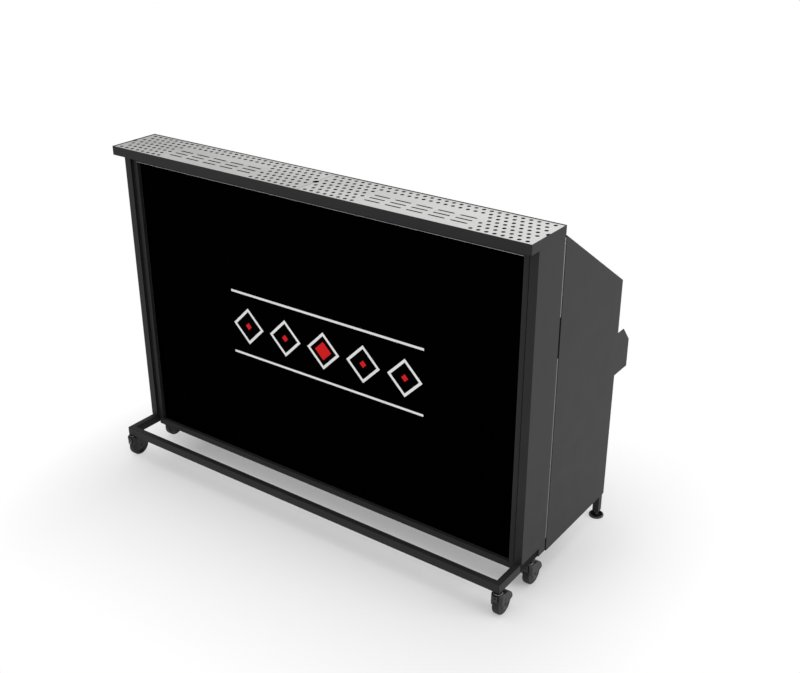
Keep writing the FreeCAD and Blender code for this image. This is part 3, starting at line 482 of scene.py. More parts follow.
def punched_sheet_rule():
    """A sheet filled in from its outline, with staggered round holes and a field of long slots."""
    tree, given = rule(
        "punched_sheet", ["Outline"], MADE,
        ["First", "First Row", "Pitch", "Row Pitch", "Last", "Side", "Field Middle", "Field Half",
         "Hole Radius", "Slot First", "Slot First Row", "Slot Length", "Slot Width", "Slot Pitch",
         "Underside", "Thickness"],
        ["Rows", "Columns", "Field Rows", "Slot Rows", "Slot Columns", "Hole Sides"], FINISH_INPUT)
    spots_tree = staggered_spots_rule()
    layout = ("First", "First Row", "Pitch", "Rows", "Columns")
    shared = {each: given[each] for each in ("Row Pitch", "Side")}
    spots = add(tree, "GeometryNodeGroup", {
        **{each: given[each] for each in layout}, **shared, "Stagger": STAGGER}, node_tree=spots_tree)
    past_end = add(tree, MATH, {0: spots.outputs["Along"], 1: given["Last"]}, operation="GREATER_THAN")
    in_length = add(tree, MATH, {
        0: spots.outputs["Along"], 1: given["Field Middle"], 2: given["Field Half"]}, operation="COMPARE")
    in_rows = add(tree, MATH, {0: spots.outputs["Row"], 1: given["Field Rows"]}, operation="LESS_THAN")
    in_field = add(tree, MATH, {0: in_length, 1: in_rows}, operation="MULTIPLY")
    unpunched = add(tree, MATH, {0: past_end, 1: in_field}, operation="MAXIMUM")
    kept = add(tree, "GeometryNodeDeleteGeometry", {
        "Geometry": spots, "Selection": unpunched}, domain="POINT")
    punch = add(tree, "GeometryNodeCurvePrimitiveCircle", {
        "Resolution": given["Hole Sides"], "Radius": given["Hole Radius"]})
    holes = add(tree, "GeometryNodeInstanceOnPoints", {"Points": kept, "Instance": punch})

    slot_spots = add(tree, "GeometryNodeGroup", {
        **{each: given["Slot " + each] for each in layout}, **shared, "Stagger": 0.0}, node_tree=spots_tree)
    slot_box = add(tree, "GeometryNodeCurvePrimitiveQuadrilateral", {
        "Width": given["Slot Length"], "Height": given["Slot Width"]})
    end_radius = add(tree, MATH, {0: given["Slot Width"], 1: SLOT_END_SHARE}, operation="MULTIPLY")
    slot = add(tree, "GeometryNodeFilletCurve", {
        "Curve": slot_box, "Radius": end_radius, "Count": SLOT_END_STEPS}, mode="POLY")
    slots = add(tree, "GeometryNodeInstanceOnPoints", {"Points": slot_spots, "Instance": slot})

    border = add(tree, "GeometryNodeMeshToCurve", {"Mesh": given["Outline"]})
    joined = add(tree, "GeometryNodeJoinGeometry")
    for part in (border, holes, slots):
        tree.links.new(part.outputs[0], joined.inputs["Geometry"])
    loops = add(tree, "GeometryNodeRealizeInstances", {"Geometry": joined})
    under = add(tree, "GeometryNodeFillCurve", {"Curve": loops})
    rise = add(tree, "ShaderNodeCombineXYZ", {"Z": given["Thickness"]})
    upper = add(tree, "GeometryNodeExtrudeMesh", {
        "Mesh": under, "Offset": rise, "Individual": False}, mode="FACES")
    lower = add(tree, "GeometryNodeFlipFaces", {"Mesh": under})
    both = add(tree, "GeometryNodeJoinGeometry")
    for part in (upper, lower):
        tree.links.new(part.outputs[0], both.inputs["Geometry"])
    closed = add(tree, "GeometryNodeMergeByDistance", {"Geometry": both, "Distance": MERGE})
    height = add(tree, "ShaderNodeCombineXYZ", {"Z": given["Underside"]})
    placed = add(tree, "GeometryNodeTransform", {"Geometry": closed, "Translation": height})
    return rule_result(tree, given, placed)


def knuckle_rule():
    """Every second barrel of a piano hinge, from its lower end up."""
    tree, given = rule(
        "hinge_knuckles", ["Outline"], MADE, ["Across", "Back", "Bottom", "Step", "Gap", "Radius", "First"],
        ["Count", "Barrel Sides"], FINISH_INPUT)
    index = add(tree, "GeometryNodeInputIndex")
    middle = add(tree, MATH, {0: given["First"], 1: 0.5}, operation="ADD")
    place = add(tree, MATH, {0: index, 1: 2.0, 2: middle}, operation="MULTIPLY_ADD")
    height = add(tree, MATH, {0: place, 1: given["Step"], 2: given["Bottom"]}, operation="MULTIPLY_ADD")
    spot = add(tree, "ShaderNodeCombineXYZ", {"X": given["Across"], "Y": given["Back"], "Z": height})
    spots = add(tree, "GeometryNodePoints", {"Count": given["Count"], "Position": spot})
    length = add(tree, MATH, {0: given["Step"], 1: given["Gap"]}, operation="SUBTRACT")
    barrel = add(tree, "GeometryNodeMeshCylinder", {
        "Vertices": given["Barrel Sides"], "Radius": given["Radius"], "Depth": length})
    barrels = add(tree, "GeometryNodeInstanceOnPoints", {"Points": spots, "Instance": barrel})
    return rule_result(tree, given, barrels)


def row_rule():
    """The same small piece a number of times, at one pitch along the bar."""
    tree, given = rule("even_row", ["Outline"], MADE, ["Pitch"], ["Count"], FINISH_INPUT)
    index = add(tree, "GeometryNodeInputIndex")
    along = add(tree, MATH, {0: index, 1: given["Pitch"]}, operation="MULTIPLY")
    spot = add(tree, "ShaderNodeCombineXYZ", {"X": along})
    spots = add(tree, "GeometryNodePoints", {"Count": given["Count"], "Position": spot})
    repeated = add(tree, "GeometryNodeInstanceOnPoints", {"Points": spots, "Instance": given["Outline"]})
    return rule_result(tree, given, repeated)


# Bar top


def bar_top():
    softened("bar_top", COAT, "carcass")
    carried_over("plate_ledges", COAT)


def plate_outline(side):
    """The plate's border in plan, with half a finger hole in the joint's edge and in the end."""
    low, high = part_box("drip_plate_" + side)
    middle = CAD_BOX[0].lerp(CAD_BOX[1], 0.5).x
    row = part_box("bar_top")[0].y + PUNCH_FIRST_ROW + PUNCH_ROW_PITCH * (PUNCH_ROWS // 2)
    near, far = sorted((low.x, high.x), key=abs)
    sign = 1 if far > 0 else -1

    def notch(edge, centre, outward):
        """Points of the finger hole's arc inside the plate, from the front to the rear."""
        half = math.acos(abs(edge - centre) / FINGER_RADIUS)
        angles = [-half + 2 * half * i / FINGER_STEPS for i in range(FINGER_STEPS + 1)]
        arc = [(FINGER_RADIUS * math.cos(a), FINGER_RADIUS * math.sin(a)) for a in angles]
        return [(centre - outward * x, row + y) for x, y in arc]

    points = [(near, low.y), (far, low.y)]
    points += notch(far, far + sign * FINGER_BEYOND_END, sign)
    points += [(far, high.y), (near, high.y)]
    points += reversed(notch(near, middle, -sign))
    mesh = bpy.data.meshes.new("plate_border")
    count = len(points)
    mesh.from_pydata([(x, y, 0) for x, y in points], [(i, (i + 1) % count) for i in range(count)], [])
    return mesh


def drip_plates():
    sheet = punched_sheet_rule()
    top_low, top_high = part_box("bar_top")
    first_row = top_low.y + PUNCH_FIRST_ROW
    field_middle = (FIELD_START + FIELD_END) / 2
    for side, sign in SIDES:
        node = "drip_plate_" + side
        low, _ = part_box(node)
        mesh = made_by(sheet, plate_outline(side), {
            "First": PUNCH_FIRST, "First Row": first_row, "Pitch": PUNCH_PITCH, "Row Pitch": PUNCH_ROW_PITCH,
            "Last": top_high.x - PUNCH_FIRST, "Side": float(sign), "Field Middle": field_middle,
            "Field Half": (FIELD_END - FIELD_START) / 2, "Hole Radius": PUNCH_RADIUS,
            "Slot First": field_middle - (SLOT_COLUMNS - 1) / 2 * SLOT_PITCH,
            "Slot First Row": first_row + (FIELD_ROWS - SLOT_ROWS) / 2 * PUNCH_ROW_PITCH,
            "Slot Length": SLOT_LENGTH, "Slot Width": SLOT_WIDTH, "Slot Pitch": SLOT_PITCH,
            "Underside": low.z, "Thickness": PLATE_SHEET, "Rows": PUNCH_ROWS,
            "Columns": int((top_high.x - 2 * PUNCH_FIRST) / PUNCH_PITCH) + 1, "Field Rows": FIELD_ROWS,
            "Slot Rows": SLOT_ROWS, "Slot Columns": SLOT_COLUMNS, "Hole Sides": PUNCH_SIDES,
            "Finish": STAINLESS.material,
        })
        piece("punched_plate_" + side, mesh, STAINLESS, node, node)


# Carcass

PLUG_CORNER = 1.0 * MM
FRAME_FOLD = 0.8 * MM
COVER_EDGE = 0.5 * MM
# Sizes of the stainless strip under the top rail, a painted highlight along the rail's lower edge
RAIL_HIGHLIGHT_HEIGHT = 0.8 * MM
RAIL_HIGHLIGHT_REACH = 0.8 * MM
RAIL_HIGHLIGHT_BELOW = 0.1 * MM
RAIL_HIGHLIGHT_ROUND = 0.3 * MM
GROOVE = 2 * MM
# Sizes of the near-black strip at each cheek's groove, which is painted shade
GROOVE_SHADE_FACE = 1.3 * MM
GROOVE_SHADE_DEPTH = 2.5 * MM
GROOVE_SHADE_ROOT = 0.5 * MM
GROOVE_SHADE_TOP_GAP = 0.5 * MM
GROOVE_SHADE_PROUD = 0.35 * MM
GROOVE_SHADE_LAP = 0.1 * MM
# Sizes of the near-black strip on each side rail under its cheek, which is painted shade
RAIL_SHADE_SUNK = 0.2 * MM
RAIL_SHADE_PROUD = 0.8 * MM
RAIL_SHADE_ROUND = 0.35 * MM
STOP_LAP = 4 * MM
STOP_WALL_ROOM = 1.9 * MM
STOP_GAP = 0.1 * MM
STOP_SHEET = 1.5 * MM
STOP_ROUND = 0.3 * MM


def chassis():
    for rail in ("front_rail", "side_rail_left", "side_rail_right", "rear_rail"):
        softened("chassis_" + rail, COAT, "carcass", fold=TUBE_CORNER, wall=THIN_WALL)
    softened("chassis_end_plugs", NYLON, "carcass", fold=PLUG_CORNER)
    for side, sign in SIDES:
        rail_stop(side, sign)
        rail_painted_shade(side, sign)


def rail_painted_shade(side, sign):
    """A near-black strip on the side rail's outer face where the rail runs under the cheek: painted shade."""
    low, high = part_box("chassis_side_rail_" + side)
    outer = max((low.x, high.x), key=abs)
    ends = sorted((outer - sign * RAIL_SHADE_SUNK, outer + sign * RAIL_SHADE_PROUD))
    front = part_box("cheek_" + side)[0].y + MM
    rear = high.y - 0.5 * MM
    shape = bmesh.new()
    box_part(shape, (ends[0], front, low.z + 2 * MM), (ends[1], rear, high.z - 0.6 * MM))
    bmesh.ops.bevel(shape, geom=shape.edges[:], offset=RAIL_SHADE_ROUND, segments=2, affect="EDGES")
    shaped("rail_painted_shade_" + side, shape, RUBBER_AND_PAINTED_SHADE, "carcass", smooth=40)


def rail_stop(side, sign):
    """A small lip folded in from the cheek behind its rail's end, so that no light shows between them."""
    low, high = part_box("chassis_side_rail_" + side)
    outer = max((low.x, high.x), key=abs)
    cheek = max((corner.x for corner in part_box("cheek_" + side)), key=abs)
    ends = sorted((outer - sign * STOP_LAP, cheek - sign * STOP_WALL_ROOM))
    front = high.y + STOP_GAP
    shape = bmesh.new()
    box_part(shape, (ends[0], front, low.z + 0.4 * MM), (ends[1], front + STOP_SHEET, high.z - 0.2 * MM))
    bmesh.ops.bevel(shape, geom=shape.edges[:], offset=STOP_ROUND, segments=2, affect="EDGES")
    shaped("rail_stop_" + side, shape, COAT, "carcass", smooth=40)


def carcass():
    for side, _ in SIDES:
        softened("cheek_" + side, COAT, "carcass")
        softened("frame_stile_" + side, COAT, "carcass", fold=FRAME_FOLD)
        groove_painted_shade(side)
    softened("frame_rail_top", COAT, "carcass", fold=FRAME_FOLD)
    softened("frame_rail_bottom", COAT, "carcass", fold=FRAME_FOLD)
    softened("back_cover", COMPOSITE, "carcass", fold=COVER_EDGE)
    carried_over("panel_retainers", COAT)
    carried_over("front_panel", ACRYLIC)
    softened("worktop_front_ledge", COAT, "carcass")
    rail_edge_highlight()


def groove_painted_shade(side):
    """A near-black strip on a cheek's inner edge, with one lip on the face and one in the groove: painted
    shade in the groove and along the cheek's edge.
    """
    low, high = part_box("cheek_" + side)
    sign = 1 if high.x > 0 else -1
    inner = max((corner.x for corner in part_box("frame_stile_" + side)), key=abs) + sign * GROOVE
    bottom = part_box("chassis_side_rail_" + side)[1].z
    top = high.z - GROOVE_SHADE_TOP_GAP
    shape = bmesh.new()
    ends = sorted((inner - sign * GROOVE_SHADE_ROOT, inner + sign * GROOVE_SHADE_FACE))
    box_part(shape, (ends[0], low.y - GROOVE_SHADE_PROUD, bottom), (ends[1], low.y + GROOVE_SHADE_LAP, top))
    ends = sorted((inner - sign * GROOVE_SHADE_ROOT, inner + sign * GROOVE_SHADE_LAP))
    box_part(shape, (ends[0], low.y, bottom), (ends[1], low.y + GROOVE_SHADE_DEPTH, top))
    shaped("groove_painted_shade_" + side, shape, RUBBER_AND_PAINTED_SHADE, "carcass")


def rail_edge_highlight():
    """A thin stainless strip along the top rail's lower edge; its bright metal is a painted highlight for the
    light that this edge catches.
    """
    low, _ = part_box("frame_rail_top")
    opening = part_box("frame_stile_left")[1].x
    bottom = low.z - RAIL_HIGHLIGHT_BELOW
    top = bottom + RAIL_HIGHLIGHT_HEIGHT
    front, rear = low.y - RAIL_HIGHLIGHT_REACH, low.y + MM
    shape = bmesh.new()
    section = rounded_line([(rear, top), (front, top), (front, bottom), (rear, bottom)], RAIL_HIGHLIGHT_ROUND)
    prism(shape, section, opening, -opening)
    shaped("rail_edge_highlight", shape, STAINLESS, "carcass", smooth=50)


# The pattern on the front panel: a row of diamonds with a red one in the middle
PATTERN_MIDDLE = (30 * MM, 610 * MM)
PATTERN_PITCH = 160 * MM
DIAMOND_HALF = 66 * MM
DIAMOND_LINE = 9 * MM
PATTERN_COUNT = 5
LINE_REACH = 390 * MM
LINE_DROP = 112 * MM
LINE_WIDTH = 8 * MM
FILM_SHEET = 0.15 * MM
FILM_LAP = 0.05 * MM
SMALL_SHARE = 0.2
MIDDLE_SHARE = 0.5
# Along a diagonal, the line of a side is this much wider
DIAGONAL = 1.414


def film_part(shape, outer, inner, front, back):
    """Adds a thin flat piece with an outline and perhaps a hole, both lists of (x, z)."""
    for y in (front, back):
        rows = [[shape.verts.new((x, y, z)) for x, z in line] for line in (outer, inner) if line]
        if len(rows) == 1:
            shape.faces.new(rows[0])
        else:
            for i in range(len(outer)):
                shape.faces.new([rows[0][i - 1], rows[0][i], rows[1][i], rows[1][i - 1]])
    for line in (outer, inner):
        for i in range(len(line)):
            (x0, z0), (x1, z1) = line[i - 1], line[i]
            corners = [(x0, front, z0), (x1, front, z1), (x1, back, z1), (x0, back, z0)]
            shape.faces.new([shape.verts.new(corner) for corner in corners])


def diamond(x, z, half):
    """The corners of a square that stands on one of them."""
    return [(x, z - half), (x + half, z), (x, z + half), (x - half, z)]


def panel_pattern(row):
    """White outlined diamonds between two lines, with small red ones and a larger one in the middle."""
    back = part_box("front_panel")[0].y
    front = back - FILM_SHEET
    middle_x, z = PATTERN_MIDDLE
    first_x = middle_x - (PATTERN_COUNT - 1) / 2 * PATTERN_PITCH
    outline = bmesh.new()
    opening = diamond(first_x, z, DIAMOND_HALF - DIAGONAL * DIAMOND_LINE)
    film_part(outline, diamond(first_x, z, DIAMOND_HALF), opening, front, back)
    centre = bmesh.new()
    film_part(centre, diamond(first_x, z, DIAMOND_HALF * SMALL_SHARE), [], front, back)
    spacing = {"Pitch": PATTERN_PITCH, "Count": PATTERN_COUNT}
    white = bmesh.new()
    white.from_mesh(made_by(row, as_mesh(outline, "diamond"), {**spacing, "Finish": WHITE_FILM.material}))
    start, end = middle_x - LINE_REACH, middle_x + LINE_REACH
    for line_low in (z - LINE_DROP, z + LINE_DROP):
        line_high = line_low + LINE_WIDTH
        strip = [(start, line_low), (end, line_low), (end, line_high), (start, line_high)]
        film_part(white, strip, [], front, back)
    shaped("panel_pattern_white", white, WHITE_FILM, "carcass")
    red = bmesh.new()
    red.from_mesh(made_by(row, as_mesh(centre, "small_diamond"), {**spacing, "Finish": RED_FILM.material}))
    film_part(red, diamond(middle_x, z, DIAMOND_HALF * MIDDLE_SHARE), [], front - FILM_LAP, back)
    shaped("panel_pattern_red", red, RED_FILM, "carcass")


# Hinges

KNUCKLE_PITCH = 12.4 * MM
KNUCKLE_GAP = 0.9 * MM
KNUCKLE_SIDES = 14
KNUCKLE_ROOM = 0.35 * MM
LEAF_GAP = 0.3 * MM
SAME_PLACE = 0.1 * MM


def hinge_spans(node):
    """The lower and upper end of each of a node's two leaves, on both sides of its largest gap."""
    heights = sorted({round(v.co.z, 5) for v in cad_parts[node].data.vertices})
    _, split = max((b - a, i) for i, (a, b) in enumerate(zip(heights, heights[1:])))
    return (heights[0], heights[split]), (heights[split + 1], heights[-1])


def hinges():
    barrels = knuckle_rule()
    empty = bpy.data.meshes.new("nothing")
    for side, sign in SIDES:
        for kind, first in (("fixed", 0), ("moving", 1)):
            node = "hinge_leaf_" + kind + "_" + side
            low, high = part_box(node)
            inner, outer = sorted((low.x, high.x), key=abs)
            seam = (high.y - low.y) / 2
            radius = seam - KNUCKLE_ROOM
            centre_x = outer - sign * seam
            centre_y = (low.y + high.y) / 2
            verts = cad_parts[node].data.vertices
            leaf_y = [v.co.y for v in verts if abs(v.co.x - inner) < SAME_PLACE]
            shape = bmesh.new()
            for bottom, top in hinge_spans(node):
                count = 2 * int((top - bottom) / KNUCKLE_PITCH / 2) + 1
                shape.from_mesh(made_by(barrels, empty, {
                    "Across": centre_x, "Back": centre_y, "Bottom": bottom, "Step": (top - bottom) / count,
                    "Gap": KNUCKLE_GAP, "Radius": radius, "First": float(first),
                    "Count": (count + 1) // 2 - first, "Barrel Sides": KNUCKLE_SIDES,
                    "Finish": HINGE.material}))
                ends = sorted((inner, centre_x - sign * (seam + LEAF_GAP)))
                box_part(shape, (ends[0], min(leaf_y), bottom), (ends[1], max(leaf_y), top))
            body = "carcass" if kind == "fixed" else "wing_" + side
            shaped(node + "_rolled", shape, HINGE, body, node, smooth=40)
    carried_over("hinge_pins", HINGE)


# Wings

NUT_BORE = 5.1 * MM
NUT_CHAMFER = 0.8 * MM
# The chamfered end's radius over the nut's
NUT_FACE = 0.87
FOOT_SIDES = 40
STEM_FROM = 5 * MM
STEM_RADIUS = 5 * MM
STEM_ROOT = 4.3 * MM
STEM_SIDES = 16
THREAD_FROM = 5.4 * MM
THREAD_PITCH = 1.75 * MM


def wings():
    for side, _ in SIDES:
        body = "wing_" + side
        softened("wing_panel_" + side, COAT, body)
        softened("leg_" + side, COAT, body, fold=WIDE_FOLD, wall=THIN_WALL)
        softened("worktop_side_ledge_" + side, COAT, body)
        carried_over("leg_insert_" + side, NYLON)
        lock_nut(side)
        levelling_foot(side)


def lock_nut(side):
    """A chamfered hexagon nut with a bore for the stem."""
    low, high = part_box("lock_nut_" + side)
    radius = (high.x - low.x) / 2
    height = high.z - low.z
    flat = radius * NUT_FACE
    stations = [
        (0, NUT_BORE), (0, flat), (NUT_CHAMFER, radius), (height - NUT_CHAMFER, radius), (height, flat),
        (height, NUT_BORE), (0, NUT_BORE),
    ]
    shape = bmesh.new()
    turn(shape, stations, base_middle(low, high), UP, 6)
    shaped("hexagon_nut_" + side, shape, BLACKENED, "wing_" + side, "lock_nut_" + side, smooth=30)


def levelling_foot(side):
    """A black moulded pad with a paler rim, whose grey is a painted highlight, and a hub, on a threaded stem.
    Each outline is (up, out) from the middle of the underside."""
    node = "levelling_foot_" + side
    low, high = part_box(node)
    centre = base_middle(low, high)
    pad = (high.x - low.x) / 2
    top = high.z - low.z - 0.2 * MM
    outline = [
        (0.0, 0.0), (0.0, pad - 1.2 * MM), (MM, pad - 0.3 * MM), (5 * MM, pad - 0.3 * MM),
        (6 * MM, pad - 1.6 * MM), (6 * MM, pad - 3.8 * MM), (1.8 * MM, pad - 5.6 * MM),
        (1.8 * MM, 8 * MM), (6 * MM, 6.2 * MM), (6.4 * MM, 4.6 * MM),
    ]
    shape = bmesh.new()
    turn(shape, rounded_line(outline, 1.2 * MM), centre, UP, FOOT_SIDES)
    shaped("foot_pad_" + side, shape, RUBBER_AND_PAINTED_SHADE, "foot_" + side, node, smooth=35)
    band = [
        (3.2 * MM, pad - MM), (3.2 * MM, pad), (5.4 * MM, pad), (6.8 * MM, pad - 1.4 * MM),
        (6.8 * MM, pad - 4.2 * MM), (5.8 * MM, pad - 4.8 * MM), (5.6 * MM, pad - 3 * MM),
        (3.2 * MM, pad - MM),
    ]
    rim = bmesh.new()
    turn(rim, rounded_line(band, 0.6 * MM), centre, UP, FOOT_SIDES)
    shaped("foot_rim_" + side, rim, FOOT_RIM_HIGHLIGHT, "foot_" + side, smooth=35)
    stations = [(STEM_FROM, 0.0), (STEM_FROM, STEM_ROOT)]
    level = THREAD_FROM
    while level + THREAD_PITCH < high.z - low.z:
        stations += [(level, STEM_ROOT), (level + THREAD_PITCH / 2, STEM_RADIUS)]
        level += THREAD_PITCH
    stations += [(top, STEM_ROOT), (top, 0.0)]
    thread = bmesh.new()
    turn(thread, stations, centre, UP, STEM_SIDES)
    shaped("foot_stem_" + side, thread, BLACKENED, "foot_" + side, smooth=25)


# Worktop

RAIL_OVERLAP = 28 * MM
RAIL_END_DROP = 20 * MM
RAIL_EDGE_WITHIN = 0.5 * MM
BOLT_CHAMFER = 0.6 * MM
BOLT_FACE = 0.85
RIM_STEPS = 6
PAN_BEND_STEPS = 5
PAN_WALL = 1.2 * MM
BIN_WALL = 1.5 * MM
LID_FOLD = 3 * MM


def worktop(row):
    """The folded sections and the bottle rail, whose ends are cut lower than the wings' nubs."""
    for node in ("worktop_ice_section", "worktop_pan_section", "worktop_apron"):
        softened(node, STAINLESS, "worktop", fold=WIDE_FOLD, wall=THIN_WALL)
    rail = softened("speed_rail", STAINLESS, "worktop", fold=WIDE_FOLD, wall=THIN_WALL)
    end_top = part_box("speed_rail")[1].z - RAIL_OVERLAP
    for vert in rail.data.vertices:
        if abs(vert.co.z - end_top) < RAIL_EDGE_WITHIN:
            vert.co.z -= RAIL_END_DROP
    rail_bolts(row)


def rail_bolts(row):
    """Chamfered hexagon heads in a row along the rail."""
    low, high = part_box("rail_bolts")
    radius = (high.z - low.z) / 2
    corners = sorted(v.co.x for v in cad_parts["rail_bolts"].data.vertices)
    count = 1 + sum(b - a > 4 * radius for a, b in zip(corners, corners[1:]))
    centre = Vector((low.x + radius, low.y, (low.z + high.z) / 2))
    head = high.y - low.y
    stations = [(0, 0), (0, radius), (head - BOLT_CHAMFER, radius), (head, radius * BOLT_FACE), (head, 0)]
    shape = bmesh.new()
    turn(shape, stations, centre, Vector((0, 1, 0)), 6)
    mesh = made_by(row, as_mesh(shape, "bolt_head", 30), {
        "Pitch": (high.x - low.x - 2 * radius) / (count - 1), "Count": count, "Finish": ZINC.material})
    piece("rail_bolt_heads", mesh, ZINC, "worktop", "rail_bolts")


def rectangle_ring(shape, low, high, inset, radius, z):
    """Corners of a rectangle in plan with round corners, at one height."""
    left, right = low.x + inset + radius, high.x - inset - radius
    front, rear = low.y + inset + radius, high.y - inset - radius
    verts = []
    for x, y, start in ((right, rear, 0), (left, rear, 90), (left, front, 180), (right, front, 270)):
        for i in range(RIM_STEPS + 1):
            angle = math.radians(start + 90 * i / RIM_STEPS)
            verts.append(shape.verts.new((x + radius * math.cos(angle), y + radius * math.sin(angle), z)))
    return verts


def drawn_pan(name, node, flange, taper, wall, corner, bend, underside):
    """A deep-drawn pan: flange, wall and floor as one skin with round corners, given its thickness."""
    low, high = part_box(node)
    floor = underside + wall
    foot = flange + taper
    section = rounded_line(
        [(0.0, high.z), (flange, high.z), (foot, floor), (foot + 2 * bend, floor)], bend, PAN_BEND_STEPS)
    shape = bmesh.new()
    rings = []
    for inset, z in section:
        rings.append(rectangle_ring(shape, low, high, inset, max(corner + flange - inset, 2 * MM), z))
    for ring, following in zip(rings, rings[1:]):
        for i in range(len(ring)):
            shape.faces.new([ring[i - 1], ring[i], following[i], following[i - 1]])
    shape.faces.new(rings[-1])
    bmesh.ops.recalc_face_normals(shape, faces=shape.faces)
    if shape.faces[0].normal.z < 0:
        bmesh.ops.reverse_faces(shape, faces=shape.faces)
    mesh = bpy.data.meshes.new(name)
    shape.to_mesh(mesh)
    shape.free()
    mesh.shade_smooth()
    thing = piece(name, mesh, DRAWN, node, node)
    sheet = thing.modifiers.new("sheet", "SOLIDIFY")
    sheet.thickness = wall


def pans():
    for number in range(1, 5):
        node = "garnish_pan_" + str(number)
        low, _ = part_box(node)
        drawn_pan(
            "drawn_pan_" + str(number), node, flange=8 * MM, taper=1.2 * MM, wall=PAN_WALL, corner=14 * MM,
            bend=7 * MM, underside=low.z)


def ice_bin():
    """A drawn bin with a drain spout under it, whose outline is (up, out)."""
    low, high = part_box("ice_bin")
    heights = sorted({round(v.co.z, 5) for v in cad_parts["ice_bin"].data.vertices})
    floor = next(h for h in heights if h > low.z + MM)
    drawn_pan(
        "drawn_ice_bin", "ice_bin", flange=14 * MM, taper=8 * MM, wall=BIN_WALL, corner=20 * MM, bend=12 * MM,
        underside=floor)
    reach = floor - low.z
    stations = [
        (0, 10 * MM), (0, 13 * MM), (2 * MM, 14 * MM), (4 * MM, 14 * MM), (4.5 * MM, 12.6 * MM),
        (reach - 4 * MM, 12.6 * MM), (reach, 14 * MM), (reach, 10 * MM), (0, 10 * MM),
    ]
    spout = bmesh.new()
    turn(spout, stations, base_middle(low, high), UP, 32)
    shaped("ice_bin_drain", spout, DRAWN, "ice_bin", smooth=35)


def ice_bin_lid():
    softened("ice_bin_lid", STAINLESS, "ice_bin_lid", fold=LID_FOLD, wall=THIN_WALL)


# Casters

STEM_INSET = 16.5 * MM
WHEEL_HALF = 12 * MM
ROUND_SIDES = 48
FORK_OUTSIDE = 15.8 * MM
TURRET_RADIUS = 19.5 * MM
TURRET_WALL = 2.2 * MM
TURRET_BORE = 12.4 * MM
TURRET_LIP = 12 * MM
TURRET_FOOT = -38 * MM
TURRET_FOOT_SLOPE = 6 * MM
WINDOW_TOP = -13 * MM
WHEEL_ROOM = 12.8 * MM
PEDAL_ROOM = 9.8 * MM
PEDAL_WINDOW_RADIUS = 13.2 * MM


def casters():
    for place in CASTERS:
        hood = "caster_hood_" + place
        softened(hood, NYLON, "caster_" + place, fold=2.4 * MM, wall=0.5 * MM, rim=0.6 * MM)
        pedal = "caster_pedal_" + place
        softened(pedal, NYLON, "pedal_" + place, fold=1.2 * MM, wall=1 * MM, rim=0.5 * MM)
        caster_turret(place)
        caster_wheel(place)
    caster_collars()


def swivel_axis(place):
    """The place under the tube round which a caster turns."""
    stems_low, stems_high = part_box("caster_stems")
    sign = 1 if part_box("caster_hood_" + place)[0].x > 0 else -1
    x = stems_high.x - STEM_INSET if sign > 0 else stems_low.x + STEM_INSET
    y = stems_low.y + STEM_INSET if "front" in place else stems_high.y - STEM_INSET
    return Vector((x, y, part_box("chassis_front_rail")[0].z))


def caster_turret(place):
    """The round housing of the swivel bearing, cut away where the wheel turns and narrower at the pedal."""
    centre = swivel_axis(place)
    shape = bmesh.new()
    rings = []
    for i in range(ROUND_SIDES):
        angle = 2 * math.pi * i / ROUND_SIDES
        across, along = math.sin(angle), math.cos(angle)
        over_wheel = along > 0 and abs(across) * TURRET_RADIUS < WHEEL_ROOM
        at_pedal = along < 0 and abs(across) * TURRET_RADIUS < PEDAL_ROOM
        outer = PEDAL_WINDOW_RADIUS if at_pedal else TURRET_RADIUS
        inner = max(outer - TURRET_WALL, TURRET_BORE)
        foot = TURRET_FOOT + TURRET_FOOT_SLOPE * along
        if over_wheel or at_pedal:
            foot = WINDOW_TOP
        section = [
            (inner, foot), (outer, foot), (outer, -10 * MM), (outer - 0.6 * MM, -8 * MM),
            (max(outer - 2.4 * MM, TURRET_BORE), -6.4 * MM), (TURRET_LIP, -5.8 * MM),
            (TURRET_LIP, -11 * MM), (inner, -12 * MM),
        ]
        rings.append([shape.verts.new(centre + Vector((across * r, along * r, z))) for r, z in section])
    for before, after in zip(rings, rings[1:] + rings[:1]):
        for j in range(len(before)):
            shape.faces.new([before[j - 1], before[j], after[j], after[j - 1]])
    shaped("caster_turret_" + place, shape, NYLON, "caster_" + place, smooth=40)


def caster_wheel(place):
    """A moulded wheel with a soft tyre, dished on both sides, on an axle with a domed head at each end.
    Each outline is (along the axle, out)."""
    node = "caster_wheel_" + place
    low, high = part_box(node)
    centre = (low + high) / 2
    along = Vector((1, 0, 0))
    radius = (high.z - low.z) / 2
    body = "wheel_" + place
    half = WHEEL_HALF
    seat = radius - 6 * MM
    tyre = [
        (-half, seat), (-half, radius - 3 * MM), (3 * MM - half, radius), (half - 3 * MM, radius),
        (half, radius - 3 * MM), (half, seat), (-half, seat),
    ]
    tread = bmesh.new()
    turn(tread, rounded_line(tyre, 2.2 * MM), centre, along, ROUND_SIDES)
    shaped("wheel_tread_" + place, tread, TREAD, body, node, smooth=40)
    hub = half - 0.4 * MM
    dish = half - 7 * MM
    edge = half - MM
    face = [
        (hub, 0), (hub, 9 * MM), (dish, 11 * MM), (dish, seat - 7 * MM), (edge, seat - 1.5 * MM),
        (edge, seat),
    ]
    core = bmesh.new()
    outline = [(-x, r) for x, r in face] + face[::-1]
    turn(core, rounded_line(outline, 0.9 * MM), centre, along, ROUND_SIDES)
    shaped("wheel_core_" + place, core, NYLON, body, smooth=40)
    end = (high.x - low.x) / 2
    head = [
        (end, 0), (end - 0.3 * MM, 3.2 * MM), (FORK_OUTSIDE + 0.2 * MM, 5.6 * MM), (FORK_OUTSIDE, 3.9 * MM),
    ]
    axle = bmesh.new()
    turn(axle, [(-x, r) for x, r in head] + head[::-1], centre, along, 24)
    shaped("wheel_axle_" + place, axle, COAT, body, smooth=40)


